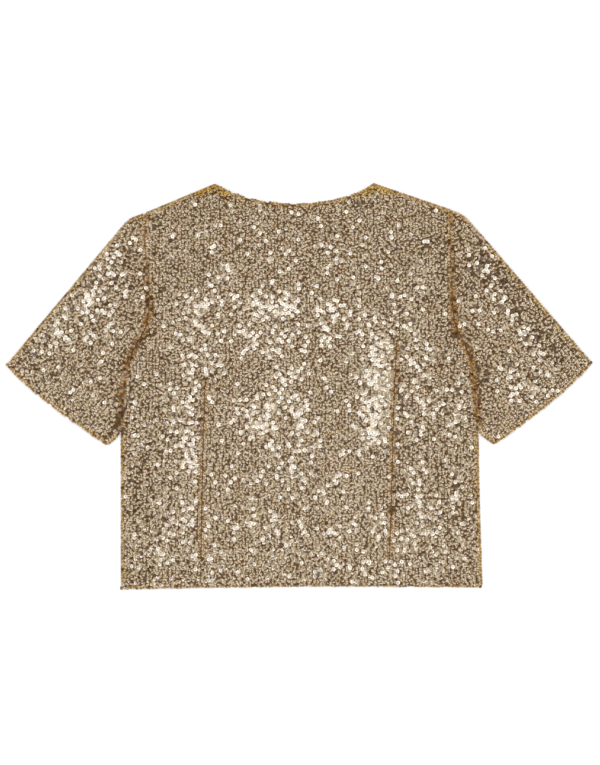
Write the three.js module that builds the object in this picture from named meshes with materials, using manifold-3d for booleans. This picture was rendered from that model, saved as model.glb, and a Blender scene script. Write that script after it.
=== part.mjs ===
// A short-sleeved top of sequinned cloth, laid flat on a table with its back up.
// Millimetres: +X runs across the sleeves, +Y from the hem to the neck, +Z up from the table.
// Left and right are those of someone who looks down at the top. Heights in the tables are
// measured up from the left end of the hem, and widths out from the middle of the body.

import * as THREE from 'three';
import { mergeVertices } from 'three/addons/utils/BufferGeometryUtils.js';
import Module from 'manifold-3d';

const wasm = await Module();
wasm.setup();

// Cloth
const WALL = 2;
const SEAM_GAP = 0.3;
const CLOTH = { color: '#a7937a', roughness: 0.45, metalness: 0.55 };
const HIDDEN_CLOTH = { ...CLOTH, color: '#8f7a5e' };

// Neck: the line drops from both neck points and is flat in the middle
const NECK_HEIGHT = 505.5;
const NECK_LEFT = -107;
const NECK_RIGHT = 93;
const BACK_NECK_DEPTH = 25;
const FRONT_NECK_DEPTH = 80;
const NECK_ROUNDNESS = 2.3;

// Hem: its middle lies a little higher than its ends
const HEM_RISE = 2.5;

// Half widths of the body from the hem, up the side seams and the armholes to the shoulders
const SIDE_SEAM = [
  { at: 'hem', height: 0, left: 224, right: 227 },
  { at: 'waist', height: 130, left: 224, right: 223 },
  { at: 'beside the cuff', height: 195, left: 224, right: 222 },
  { at: 'below the underarm', height: 243, left: 222.5, right: 219.5 },
  { at: 'underarm', height: 284, left: 215, right: 213 },
  { at: 'armhole turn', height: 308, left: 203, right: 203.5 },
  { at: 'low armhole', height: 333, left: 191, right: 192.5 },
  { at: 'mid armhole', height: 385, left: 189.5, right: 189 },
  { at: 'high armhole', height: 435, left: 195, right: 187.5 },
  { at: 'shoulder', height: 471, left: 192, right: 187 },
];
const UNDERARM_HEIGHT = 284;

// Heights at which the body's two edges end, and places of the corners of each sleeve
const SIDES = {
  left: {
    sign: -1,
    hem: 0,
    shoulder: 470,
    head: [214, 462.5],
    foldEnd: [366.5, 280],
    seamEnd: [240.5, 179.5],
  },
  right: {
    sign: 1,
    hem: 2.5,
    shoulder: 473.5,
    head: [204.5, 466.5],
    foldEnd: [363, 283],
    seamEnd: [241.5, 180.5],
  },
};

// Sleeves: the cuff's edge bows out, most near the fold, and its inner corner turns in to the body
const SLEEVE_HEAD_ROUNDING = 9;
const CUFF_BOW = 5;
const CUFF_BOW_SKEW = 0.75;
const CUFF_BOW_STATIONS = 3;
const CUFF_LOOSENESS = 0.6;
const CUFF_CORNER_ROUNDING = 9;
const CUFF_CORNER_RISE = 13;
const CUFF_CORNER_END = 30;
const FOLD_EDGE_ROUNDING = 1.2;
const SLEEVE_CLEARANCE = 0.5;

// What the armhole cuts off each sleeve: how far its edges run on into the body
const FOLD_IN_BODY = [20, 30];
const UNDERARM_IN_BODY = 217;
const CUTTER_BELOW = 5;
const CUTTER_HEIGHT = 20;

// Loft of the upper layers over the lower ones
const PUFF = 1.9;
const LARGEST_GAP = 3.7;
const EDGE_EASE = 32;
const FREE_EDGE_SHARE = 0.35;
const SLEEVE_ROLL = 9;
const SLEEVE_FALL = 0.35;

// Largest folds, as soft ridges and troughs from one point to another
const FOLDS = [
  { at: 'left dart', x0: -119, y0: 258, x1: -123, y1: 45, width: 11, rise: -1.5 },
  { at: 'right dart', x0: 120, y0: 306, x1: 112, y1: 38, width: 11, rise: -1.5 },
  { at: 'beside the left dart', x0: -148, y0: 300, x1: -150, y1: 110, width: 24, rise: 0.7 },
  { at: 'beside the right dart', x0: 92, y0: 305, x1: 88, y1: 150, width: 22, rise: 0.7 },
  { at: 'middle of the back', x0: -40, y0: 330, x1: -30, y1: 120, width: 48, rise: 0.8 },
  { at: 'left shoulder blade', x0: -120, y0: 395, x1: -60, y1: 350, width: 34, rise: 0.5 },
  { at: 'right shoulder blade', x0: 130, y0: 400, x1: 60, y1: 350, width: 34, rise: 0.5 },
  { at: 'crease under the neck', x0: -86, y0: 431, x1: 104, y1: 430, width: 16, rise: -0.6 },
  { at: 'crease across the back', x0: -136, y0: 376, x1: 75, y1: 375, width: 14, rise: -0.6 },
  { at: 'crease above the hem', x0: -36, y0: 88, x1: 200, y1: 86, width: 14, rise: -0.8 },
  { at: 'hem turn at the left', x0: -195, y0: 41, x1: -150, y1: 40, width: 13, rise: -0.7 },
  { at: 'hem turn at the right', x0: 64, y0: 41, x1: 205, y1: 42, width: 13, rise: -0.7 },
  { at: 'left underarm', x0: -182, y0: 318, x1: -178, y1: 286, width: 10, rise: -0.9 },
  { at: 'roll of the left sleeve', x0: -226, y0: 428, x1: -322, y1: 302, width: 17, rise: 0.6 },
  { at: 'roll of the right sleeve', x0: 214, y0: 423, x1: 290, y1: 306, width: 20, rise: 0.6 },
  { at: 'dip of the left sleeve', x0: -226, y0: 330, x1: -262, y1: 262, width: 16, rise: -0.8 },
  { at: 'dip of the right sleeve', x0: 222, y0: 352, x1: 250, y1: 240, width: 15, rise: -0.8 },
];

// Steps of the meshes
const PANEL_ROWS = 38;
const SHOULDER_STEPS = 8;
const NECK_STEPS = 18;
const FRONT_HEM_STEPS = 16;
const SLEEVE_STATIONS = 26;
const SLEEVE_TOP_STEPS = 13;
const SLEEVE_BOTTOM_STEPS = 4;
const SIDE_CORNERS = 6;
const LARGEST_ROUNDED_SHARE = 0.45;

const { clamp, lerp, smoothstep } = THREE.MathUtils;
const mix = (a, b, share) => a.map((value, axis) => lerp(value, b[axis], share));
const count = (steps) => Array.from({ length: steps + 1 }, (_, step) => step / steps);
const ease = (distance, reach) => 1 - Math.exp(-((Math.max(distance, 0) / reach) ** 2));

// Half width of the body at a height, through the rows of the table without corners
function halfWidth(side, height) {
  const rows = SIDE_SEAM;
  const last = rows.length - 1;
  const y = clamp(height, rows[0].height, rows[last].height);
  const found = rows.findIndex((row) => row.height >= y);
  const upper = Math.max(found, 1);
  const slope = (row) => {
    const above = rows[Math.min(row + 1, last)];
    const below = rows[Math.max(row - 1, 0)];
    return (above[side] - below[side]) / (above.height - below.height);
  };
  const a = rows[upper - 1];
  const b = rows[upper];
  const step = b.height - a.height;
  const t = (y - a.height) / step;
  const start = (1 + 2 * t) * (1 - t) ** 2 * a[side] + t * (1 - t) ** 2 * step * slope(upper - 1);
  const end = t * t * (3 - 2 * t) * b[side] + t * t * (t - 1) * step * slope(upper);
  return start + end;
}

// Point on the body's edge at a share of the way from the hem to the shoulder
function bodySide(side, up) {
  const height = lerp(SIDES[side].hem, SIDES[side].shoulder, up);
  return [SIDES[side].sign * halfWidth(side, height), height];
}

// Hem point at a share of the way from the left corner to the right one
function hemPoint(share) {
  const [x, y] = mix(bodySide('left', 0), bodySide('right', 0), share);
  return [x, y + HEM_RISE * 4 * share * (1 - share)];
}

// Neckline point at a share of the way from the left neck point to the right one
function neckPoint(share, depth) {
  const drop = 1 - Math.abs(2 * share - 1) ** NECK_ROUNDNESS;
  return [lerp(NECK_LEFT, NECK_RIGHT, share), NECK_HEIGHT - depth * drop];
}

// Shares across the top edge, with a column on each neck point, and the point at each
function topEdge() {
  const left = bodySide('left', 1);
  const right = bodySide('right', 1);
  const points = [
    ...count(SHOULDER_STEPS).slice(0, -1).map((share) => mix(left, neckPoint(0, 0), share)),
    ...count(NECK_STEPS).map((share) => neckPoint(share, BACK_NECK_DEPTH)),
    ...count(SHOULDER_STEPS).slice(1).map((share) => mix(neckPoint(1, 0), right, share)),
  ];
  return points.map((point) => ({ point, share: (point[0] - left[0]) / (right[0] - left[0]) }));
}

// How far a fold lifts the cloth at a point
function foldRise(x, y) {
  let rise = 0;
  for (const fold of FOLDS) {
    const run = [fold.x1 - fold.x0, fold.y1 - fold.y0];
    const along = ((x - fold.x0) * run[0] + (y - fold.y0) * run[1]) / (run[0] ** 2 + run[1] ** 2);
    const nearest = clamp(along, 0, 1);
    const away = Math.hypot(x - fold.x0 - nearest * run[0], y - fold.y0 - nearest * run[1]);
    rise += fold.rise * Math.exp(-((away / fold.width) ** 2));
  }
  return rise;
}

// Gap between the upper and the lower layer at a point, where share says how loose the cloth is
function layerGap(x, y, share) {
  return clamp(SEAM_GAP + share * (PUFF + foldRise(x, y)), SEAM_GAP, LARGEST_GAP);
}

// Height of the body's top edge above a place across it
function topHeight(x) {
  if (x <= NECK_LEFT || x >= NECK_RIGHT) {
    const side = x < 0 ? 'left' : 'right';
    const outer = bodySide(side, 1);
    const inner = neckPoint(side === 'left' ? 0 : 1, 0);
    return lerp(outer[1], inner[1], clamp((x - outer[0]) / (inner[0] - outer[0]), 0, 1));
  }
  return neckPoint((x - NECK_LEFT) / (NECK_RIGHT - NECK_LEFT), BACK_NECK_DEPTH)[1];
}

// Looseness of the back panel: sewn down at the sides and shoulders, freer at the neck and hem
function backLooseness(x, y) {
  const sides = ease(x + halfWidth('left', y), EDGE_EASE) * ease(halfWidth('right', y) - x, EDGE_EASE);
  const free = x > NECK_LEFT && x < NECK_RIGHT ? FREE_EDGE_SHARE : 0;
  const top = lerp(free, 1, ease(topHeight(x) - y, EDGE_EASE));
  const hem = lerp(FREE_EDGE_SHARE, 1, ease(y, EDGE_EASE));
  return sides * top * hem;
}

function makeGeometry(vertices, triangles) {
  const geometry = new THREE.BufferGeometry();
  geometry.setAttribute('position', new THREE.Float32BufferAttribute(vertices.flat(), 3));
  geometry.setIndex(triangles.flat());
  geometry.computeVertexNormals();
  return geometry;
}

// A closed sheet between an upper and a lower grid of points
function sheetBetween(upper, lower) {
  const rows = upper.length;
  const columns = upper[0].length;
  const vertices = [...upper.flat(), ...lower.flat()];
  const triangles = [];
  const top = (row, column) => row * columns + column;
  const bottom = (row, column) => rows * columns + top(row, column);
  const quad = (a, b, c, d) => triangles.push([a, b, c], [a, c, d]);
  for (let row = 0; row < rows - 1; row += 1) {
    const next = row + 1;
    for (let column = 0; column < columns - 1; column += 1) {
      quad(top(row, column), top(row, column + 1), top(next, column + 1), top(next, column));
      quad(bottom(row, column), bottom(next, column), bottom(next, column + 1), bottom(row, column + 1));
    }
  }
  const wallBetween = (a, b) => quad(bottom(...a), bottom(...b), top(...b), top(...a));
  for (let column = 0; column < columns - 1; column += 1) {
    wallBetween([0, column], [0, column + 1]);
    wallBetween([rows - 1, column + 1], [rows - 1, column]);
  }
  for (let row = 0; row < rows - 1; row += 1) {
    wallBetween([row + 1, 0], [row, 0]);
    wallBetween([row, columns - 1], [row + 1, columns - 1]);
  }
  return makeGeometry(vertices, triangles);
}

// A closed wall between outer and inner rings, open at the first and the last ring.
// The rings run clockwise or anticlockwise, and turned says which.
function wallBetweenRings(outer, inner, turned) {
  const rings = outer.length;
  const sides = outer[0].length;
  const vertices = [...outer.flat(), ...inner.flat()];
  const triangles = [];
  const out = (ring, side) => ring * sides + (side % sides);
  const within = (ring, side) => rings * sides + out(ring, side);
  const quad = (a, b, c, d) => {
    triangles.push(turned ? [a, c, b] : [a, b, c], turned ? [a, d, c] : [a, c, d]);
  };
  const last = rings - 1;
  for (let side = 0; side < sides; side += 1) {
    const next = side + 1;
    for (let ring = 0; ring < last; ring += 1) {
      quad(out(ring, side), out(ring, next), out(ring + 1, next), out(ring + 1, side));
      quad(within(ring, side), within(ring + 1, side), within(ring + 1, next), within(ring, next));
    }
    quad(out(0, side), within(0, side), within(0, next), out(0, next));
    quad(out(last, side), out(last, next), within(last, next), within(last, side));
  }
  return makeGeometry(vertices, triangles);
}

function backPanel() {
  const top = topEdge();
  const corners = [bodySide('left', 0), bodySide('right', 0), top[0].point, top[top.length - 1].point];
  const grid = count(PANEL_ROWS).map((up) => {
    const left = bodySide('left', up);
    const right = bodySide('right', up);
    return top.map(({ point, share }) => {
      const between = mix(left, right, share);
      const along = mix(hemPoint(share), point, up);
      const shared = mix(mix(corners[0], corners[1], share), mix(corners[2], corners[3], share), up);
      return between.map((value, axis) => value + along[axis] - shared[axis]);
    });
  });
  const raised = (height) => grid.map((row) => row.map(([x, y]) => {
    return [x, y, height + layerGap(x, y, backLooseness(x, y))];
  }));
  return sheetBetween(raised(2 * WALL), raised(WALL));
}

// Outline of the body in plan, grown sideways and at the shoulders, with a neckline of any depth
function bodyOutline(neckDepth, growth) {
  const side = (name, shares) => shares.map((up) => {
    const [x, y] = bodySide(name, up);
    return [x + SIDES[name].sign * growth, y + growth * up];
  });
  return [
    ...count(FRONT_HEM_STEPS).slice(1, -1).map(hemPoint),
    ...side('right', count(PANEL_ROWS)),
    ...count(NECK_STEPS).reverse().map((share) => neckPoint(share, neckDepth)),
    ...side('left', count(PANEL_ROWS).reverse()),
  ];
}

function extrudeOutline(outline, bottom, height) {
  const shape = new THREE.Shape(outline.map(([x, y]) => new THREE.Vector2(x, y)));
  const extrusion = new THREE.ExtrudeGeometry(shape, { depth: height, bevelEnabled: false });
  extrusion.translate(0, 0, bottom);
  extrusion.deleteAttribute('normal');
  extrusion.deleteAttribute('uv');
  return mergeVertices(extrusion);
}

const frontPanel = () => extrudeOutline(bodyOutline(FRONT_NECK_DEPTH, 0), 0, WALL);

// A line through corner points, whose inner corners are rounded
function roundedLine(corners, rounding) {
  const path = new THREE.Path();
  path.moveTo(...corners[0]);
  corners.slice(1, -1).forEach((corner, index) => {
    const towards = (other) => {
      const length = Math.hypot(other[0] - corner[0], other[1] - corner[1]);
      return mix(corner, other, Math.min(LARGEST_ROUNDED_SHARE, rounding / length));
    };
    path.lineTo(...towards(corners[index]));
    path.quadraticCurveTo(...corner, ...towards(corners[index + 2]));
  });
  path.lineTo(...corners[corners.length - 1]);
  return path;
}

// Upper and lower edges of a sleeve from its cuff towards the shoulder. Both run on into the
// body, where the armhole cuts the sleeve off.
function sleeveEdges(name) {
  const { sign, shoulder, head, foldEnd, seamEnd } = SIDES[name];
  const place = ([x, y]) => [sign * x, y];
  const shoulderWidth = halfWidth(name, shoulder);
  const fold = [
    foldEnd,
    head,
    [shoulderWidth, shoulder - SLEEVE_CLEARANCE],
    [shoulderWidth - FOLD_IN_BODY[0], shoulder - FOLD_IN_BODY[1]],
  ];
  const beside = (height) => [halfWidth(name, height) + SLEEVE_CLEARANCE, height];
  const sideStart = seamEnd[1] + CUFF_CORNER_END;
  const underarm = beside(UNDERARM_HEIGHT);
  const slant = Math.atan2(head[1] - foldEnd[1], foldEnd[0] - head[0]);
  const seam = [
    seamEnd,
    beside(seamEnd[1] + CUFF_CORNER_RISE),
    ...count(SIDE_CORNERS).map((share) => beside(lerp(sideStart, UNDERARM_HEIGHT, share))),
    [underarm[0] - UNDERARM_IN_BODY * Math.cos(slant), underarm[1] + UNDERARM_IN_BODY * Math.sin(slant)],
  ];
  return {
    top: roundedLine(fold.map(place), SLEEVE_HEAD_ROUNDING),
    bottom: roundedLine(seam.map(place), CUFF_CORNER_ROUNDING),
  };
}

// Closed loop of points round a sleeve at one station, inset from its outer face
function sleeveRing(name, station, inset) {
  const { from, to, width, looseness } = station;
  const edge = inset || FOLD_EDGE_ROUNDING;
  const at = (distance) => mix(from, to, distance / width);
  const gapAt = ([x, y], distance) => {
    const seam = ease(Math.abs(x) - halfWidth(name, y), EDGE_EASE);
    const roll = 1 - Math.exp(-(distance - edge) / SLEEVE_ROLL);
    const underarm = 1 - Math.exp(-(width - edge - distance) / SLEEVE_ROLL);
    const share = seam * roll * underarm * (1 - SLEEVE_FALL * distance / width) * looseness;
    return layerGap(x, y, clamp(share, 0, 1));
  };
  const upper = count(SLEEVE_TOP_STEPS).map((step) => {
    const distance = lerp(edge, width - edge, smoothstep(step, 0, 1));
    const point = at(distance);
    return [...point, 2 * WALL + gapAt(point, distance) - inset];
  });
  const lower = count(SLEEVE_BOTTOM_STEPS).reverse().map((step) => {
    return [...at(lerp(edge, width - edge, step)), inset];
  });
  const rimTop = 2 * WALL + SEAM_GAP - inset;
  const rim = (point) => [1 / 3, 2 / 3].map((share) => [...point, lerp(rimTop, inset, share)]);
  const nearFold = rim(at(inset)).reverse();
  const nearUnderarm = rim(at(width - inset));
  return [...upper, ...nearUnderarm, ...lower, ...nearFold];
}

function toSolid(geometry) {
  const vertProperties = new Float32Array(geometry.attributes.position.array);
  const triVerts = new Uint32Array(geometry.index.array);
  return new wasm.Manifold(new wasm.Mesh({ numProp: 3, vertProperties, triVerts }));
}

function fromSolid(solid) {
  const mesh = solid.getMesh();
  const geometry = new THREE.BufferGeometry();
  geometry.setAttribute('position', new THREE.BufferAttribute(mesh.vertProperties, mesh.numProp));
  geometry.setIndex(new THREE.BufferAttribute(mesh.triVerts, 1));
  geometry.computeVertexNormals();
  return geometry;
}

// A flattened tube of cloth, folded along its top edge and cut along the armhole
function sleeve(name) {
  const { top, bottom } = sleeveEdges(name);
  const stations = count(SLEEVE_STATIONS).map((share) => {
    const along = top.getPointAt(share).toArray();
    const under = bottom.getPointAt(share).toArray();
    const width = Math.hypot(under[0] - along[0], under[1] - along[1]);
    return { from: along, to: under, width, looseness: lerp(CUFF_LOOSENESS, 1, smoothstep(share, 0, 1 / 3)) };
  });
  const outward = stations[1].from.map((value, axis) => stations[0].from[axis] - value);
  const bow = outward.map((value) => CUFF_BOW * value / Math.hypot(...outward));
  const rings = (inset) => stations.map((station, index) => {
    const pull = Math.max(0, 1 - index / CUFF_BOW_STATIONS);
    return sleeveRing(name, station, inset).map(([x, y, z]) => {
      const across = Math.hypot(x - station.from[0], y - station.from[1]) / station.width;
      const skewed = across ** CUFF_BOW_SKEW;
      const push = pull * 4 * skewed * (1 - skewed);
      return [x + bow[0] * push, y + bow[1] * push, z];
    });
  });
  const tube = wallBetweenRings(rings(0), rings(WALL), name === 'right');
  const cutter = extrudeOutline(bodyOutline(BACK_NECK_DEPTH, SEAM_GAP), -CUTTER_BELOW, CUTTER_HEIGHT);
  return fromSolid(toSolid(tube).subtract(toSolid(cutter)));
}

function addPiece(garment, name, geometry, cloth) {
  const mesh = new THREE.Mesh(geometry, new THREE.MeshStandardMaterial(cloth));
  mesh.name = name;
  garment.add(mesh);
}

const garment = new THREE.Group();
addPiece(garment, 'front_panel', frontPanel(), HIDDEN_CLOTH);
addPiece(garment, 'back_panel', backPanel(), CLOTH);
addPiece(garment, 'sleeve_left', sleeve('left'), CLOTH);
addPiece(garment, 'sleeve_right', sleeve('right'), CLOTH);

// The origin is at the middle of the underside
const middle = new THREE.Box3().setFromObject(garment).getCenter(new THREE.Vector3());
garment.position.set(-middle.x, -middle.y, 0);
garment.updateMatrixWorld(true);

export default garment;
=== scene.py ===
"""A short-sleeved top of sequinned cloth, laid flat with its back up.

Lengths in the tables are millimetres: x runs out from the middle of the body, and height up from
the left end of the hem, as a maker measures the garment. Z is up from the surface it lies on.
Left and right are those of someone who looks down at it.
"""

import math
from functools import partial

import bmesh
import bpy
import numpy as np
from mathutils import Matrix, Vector, noise
from mathutils.geometry import delaunay_2d_cdt


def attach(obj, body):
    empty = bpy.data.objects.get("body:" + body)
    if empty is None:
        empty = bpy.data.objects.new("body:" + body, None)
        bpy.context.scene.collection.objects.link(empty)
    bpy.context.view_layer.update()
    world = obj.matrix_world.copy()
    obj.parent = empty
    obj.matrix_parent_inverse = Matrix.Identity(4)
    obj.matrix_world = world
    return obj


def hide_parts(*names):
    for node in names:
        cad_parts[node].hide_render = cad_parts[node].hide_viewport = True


bl_info = {
    "name": "Sequinned blouse",
    "version": (1, 0, 0),
    "blender": (4, 5, 0),
    "location": "3D View > Sidebar > Blouse",
    "description": "Makes a short-sleeved sequinned top, laid flat, with its stage",
    "category": "Object",
}

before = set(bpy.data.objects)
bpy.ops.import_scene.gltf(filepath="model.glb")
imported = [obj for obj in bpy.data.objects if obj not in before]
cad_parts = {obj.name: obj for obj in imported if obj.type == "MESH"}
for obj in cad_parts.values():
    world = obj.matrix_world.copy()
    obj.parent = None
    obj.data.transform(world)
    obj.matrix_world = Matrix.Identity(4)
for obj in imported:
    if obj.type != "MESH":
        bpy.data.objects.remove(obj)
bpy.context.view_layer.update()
BODY = "root"
MM = 0.001

# Solid walls that the cloth stands in for, and the room that its sequins take of them
WALL = 2.0
SEAM_GAP = 0.3
SEQUIN_ROOM = 1.0

# Neck: the line drops from both neck points and is flat in the middle
NECK_HEIGHT = 505.5
NECK_LEFT = -107.0
NECK_RIGHT = 93.0
BACK_NECK_DEPTH = 25.0
FRONT_NECK_DEPTH = 80.0
NECK_ROUNDNESS = 2.3

# Hem: its middle lies a little higher than its ends
HEM_RISE = 2.5

# Half widths of the body: height, left, right
SIDE_SEAM = (
    (0, 224, 227),  # hem
    (130, 224, 223),  # waist
    (195, 224, 222),  # beside the cuff
    (243, 222.5, 219.5),  # below the underarm
    (284, 215, 213),  # underarm
    (308, 203, 203.5),  # armhole turn
    (333, 191, 192.5),  # low armhole
    (385, 189.5, 189),  # mid armhole
    (435, 195, 187.5),  # high armhole
    (471, 192, 187),  # shoulder
)
UNDERARM_HEIGHT = 284.0

# Heights at which the body's two edges end, and the corners of each sleeve
SIDES = {
    "left": {
        "sign": -1,
        "hem": 0.0,
        "shoulder": 470.0,
        "head": (214.0, 462.5),
        "fold_end": (366.5, 280.0),
        "seam_end": (240.5, 179.5),
    },
    "right": {
        "sign": 1,
        "hem": 2.5,
        "shoulder": 473.5,
        "head": (204.5, 466.5),
        "fold_end": (363.0, 283.0),
        "seam_end": (241.5, 180.5),
    },
}
SLEEVE_HEAD_ROUNDING = 9.0
CUFF_BOW = 5.0
CUFF_BOW_SKEW = 0.75
CUFF_CORNER_ROUNDING = 9.0
CUFF_CORNER_RISE = 13.0
CUFF_CORNER_END = 30.0
SLEEVE_CLEARANCE = 0.5

# Points on each line that is worked out from a formula
NECK_POINTS = 41
EDGE_POINTS = 60
CUFF_POINTS = 25
ARMHOLE_POINTS = 40
UNDERARM_POINTS = 8
CORNER_POINTS = 5
# A rounded corner takes at most this share of the lines beside it
CORNER_SHARE = 0.45

# Middle of the whole garment, where the frame has its origin
MIDDLE_X = (SIDES["right"]["fold_end"][0] - SIDES["left"]["fold_end"][0]) / 2
MIDDLE_HEIGHT = NECK_HEIGHT / 2

# Loft of the upper layers over the lower ones
PUFF = 1.9
LARGEST_GAP = 3.7
EDGE_EASE = 32.0
FREE_EDGE_SHARE = 0.35
SLEEVE_ROLL = 9.0
SLEEVE_FALL = 0.35
CUFF_LOOSENESS = 0.6
LOOSE_CUFF_LENGTH = 1 / 3

# Largest folds, as soft ridges and troughs: x0, height0, x1, height1, width, rise
FOLDS = (
    (-119, 258, -123, 45, 11, -1.5),  # left dart
    (120, 306, 112, 38, 11, -1.5),  # right dart
    (-148, 300, -150, 110, 24, 0.7),  # beside the left dart
    (92, 305, 88, 150, 22, 0.7),  # beside the right dart
    (-40, 330, -30, 120, 48, 0.8),  # middle of the back
    (-120, 395, -60, 350, 34, 0.5),  # left shoulder blade
    (130, 400, 60, 350, 34, 0.5),  # right shoulder blade
    (-86, 431, 104, 430, 16, -0.6),  # crease under the neck
    (-136, 376, 75, 375, 14, -0.6),  # crease across the back
    (-36, 88, 200, 86, 14, -0.8),  # crease above the hem
    (-195, 41, -150, 40, 13, -0.7),  # hem turn at the left
    (64, 41, 205, 42, 13, -0.7),  # hem turn at the right
    (-182, 318, -178, 286, 10, -0.9),  # left underarm
    (-226, 428, -322, 302, 17, 0.6),  # roll of the left sleeve
    (214, 423, 290, 306, 20, 0.6),  # roll of the right sleeve
    (-226, 330, -262, 262, 16, -0.8),  # dip of the left sleeve
    (222, 352, 250, 240, 15, -0.8),  # dip of the right sleeve
)

# Smaller creases of the soft cloth, in the same columns
CREASES = (
    (-72, 402, -20, 398, 7, -0.35),  # short creases across the yoke
    (30, 408, 92, 400, 8, -0.3),
    (-150, 420, -118, 436, 8, 0.3),
    (142, 432, 168, 420, 9, 0.3),
    (-160, 352, -128, 346, 7, -0.3),
    (96, 352, 150, 358, 8, -0.3),
    (-176, 270, -150, 236, 8, 0.35),  # drag lines below the underarms
    (-196, 262, -182, 214, 7, -0.35),
    (172, 272, 156, 226, 8, 0.35),
    (198, 258, 186, 208, 7, -0.3),
    (-84, 300, -76, 218, 9, 0.35),  # long soft ripples down the back
    (-64, 196, -70, 104, 8, -0.3),
    (4, 262, 12, 168, 10, -0.3),
    (40, 316, 34, 236, 9, 0.35),
    (58, 178, 66, 96, 9, 0.3),
    (-8, 148, -2, 62, 9, 0.3),
    (-176, 176, -172, 92, 8, 0.3),
    (156, 190, 162, 104, 9, 0.3),
    (186, 148, 190, 66, 8, -0.3),
    (-104, 130, -96, 66, 7, -0.3),
    (-60, 28, -58, 4, 9, 0.3),  # ripples of the hem
    (22, 30, 24, 4, 10, -0.3),
    (104, 26, 106, 4, 9, 0.3),
    (-168, 24, -170, 2, 9, -0.3),
    (-262, 402, -300, 352, 8, -0.35),  # creases of the left sleeve
    (-206, 392, -238, 352, 9, 0.35),
    (-286, 300, -306, 268, 8, 0.35),
    (-244, 244, -256, 222, 7, -0.3),
    (-330, 300, -344, 284, 7, -0.3),
    (246, 402, 284, 348, 8, -0.35),  # creases of the right sleeve
    (206, 404, 228, 370, 9, 0.35),
    (300, 318, 322, 284, 9, 0.35),
    (262, 262, 280, 232, 8, -0.3),
    (322, 330, 340, 302, 7, 0.3),
)
RIPPLE_HEIGHT = 0.5
RIPPLE_LENGTH = 46.0

# Smooth places, where the sequins lie alike and glint together: x0, height0, x1, height1, width, share
SMOOTH = (
    (-150, 361, -7, 354, 11, 0.36),  # band across the shoulder blades
    (-58, 358, -20, 350, 19, 0.8),
    (-91, 394, -90, 394, 12, 0.56),
    (-128, 338, -126, 254, 18, 0.6),  # outside the left dart
    (-82, 320, -53, 298, 11, 0.48),
    (-53, 298, -28, 317, 11, 0.48),
    (39, 346, 77, 351, 16, 0.52),
    (27, 313, 28, 313, 12, 0.4),
    (-16, 261, -53, 208, 15, 0.56),  # middle of the back
    (-63, 217, -38, 183, 19, 0.56),
    (-3, 229, 4, 186, 12, 0.56),
    (105, 304, 105, 254, 15, 1.25),  # inside the right dart
    (105, 254, 96, 192, 15, 1.25),
    (77, 236, 92, 198, 9, 0.56),
    (134, 346, 159, 288, 11, 0.48),  # outside the right dart
    (159, 288, 149, 251, 11, 0.48),
    (199, 229, 198, 198, 11, 0.48),  # sides
    (-142, 240, -139, 165, 12, 0.65),
    (-150, 110, -130, 55, 22, 0.35),
    (-201, 232, -200, 175, 7, 0.45),
    (196, 161, 194, 104, 9, 0.48),
    (-13, 154, 27, 114, 12, 0.28),  # waist
    (-18, 114, 32, 114, 12, 0.32),
    (-63, 96, -32, 86, 12, 0.32),
    (139, 126, 136, 13, 12, 0.28),
    (-202, 73, -199, 42, 11, 0.44),
    (-176, 67, -173, 36, 9, 0.4),
    (104, 86, 104, 62, 9, 0.4),
    (31, 423, 39, 408, 12, 0.36),  # yoke
    (-48, 467, -48, 429, 9, 0.28),
    (-126, 442, -101, 446, 9, 0.28),
    (-38, 408, -19, 404, 11, 0.32),
    (134, 417, 155, 373, 8, 0.28),
    (-70, 150, 40, 40, 60, 0.1),  # broad, less even areas
    (-150, 45, 150, 45, 45, 0.3),
    (-165, 230, -170, 90, 40, 0.22),
    (170, 230, 175, 90, 40, 0.28),
    (-40, 200, 60, 150, 40, 0.12),
    (95, 300, 85, 190, 30, 0.2),
    (-100, 430, 100, 430, 40, 0.06),
    (-220, 400, -340, 280, 50, 0.16),
    (225, 330, 300, 250, 35, 0.1),
    (-110, 310, 110, 320, 50, 0.13),
    (-236, 408, -268, 357, 14, 0.6),  # left sleeve
    (-272, 357, -296, 330, 12, 0.2),
    (-301, 323, -323, 301, 12, 0.55),
    (-241, 348, -234, 317, 8, 0.4),
    (212, 423, 247, 368, 6, 0.45),  # right sleeve
    (247, 368, 303, 282, 6, 0.75),
    (274, 254, 302, 246, 18, 0.48),
)

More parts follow.
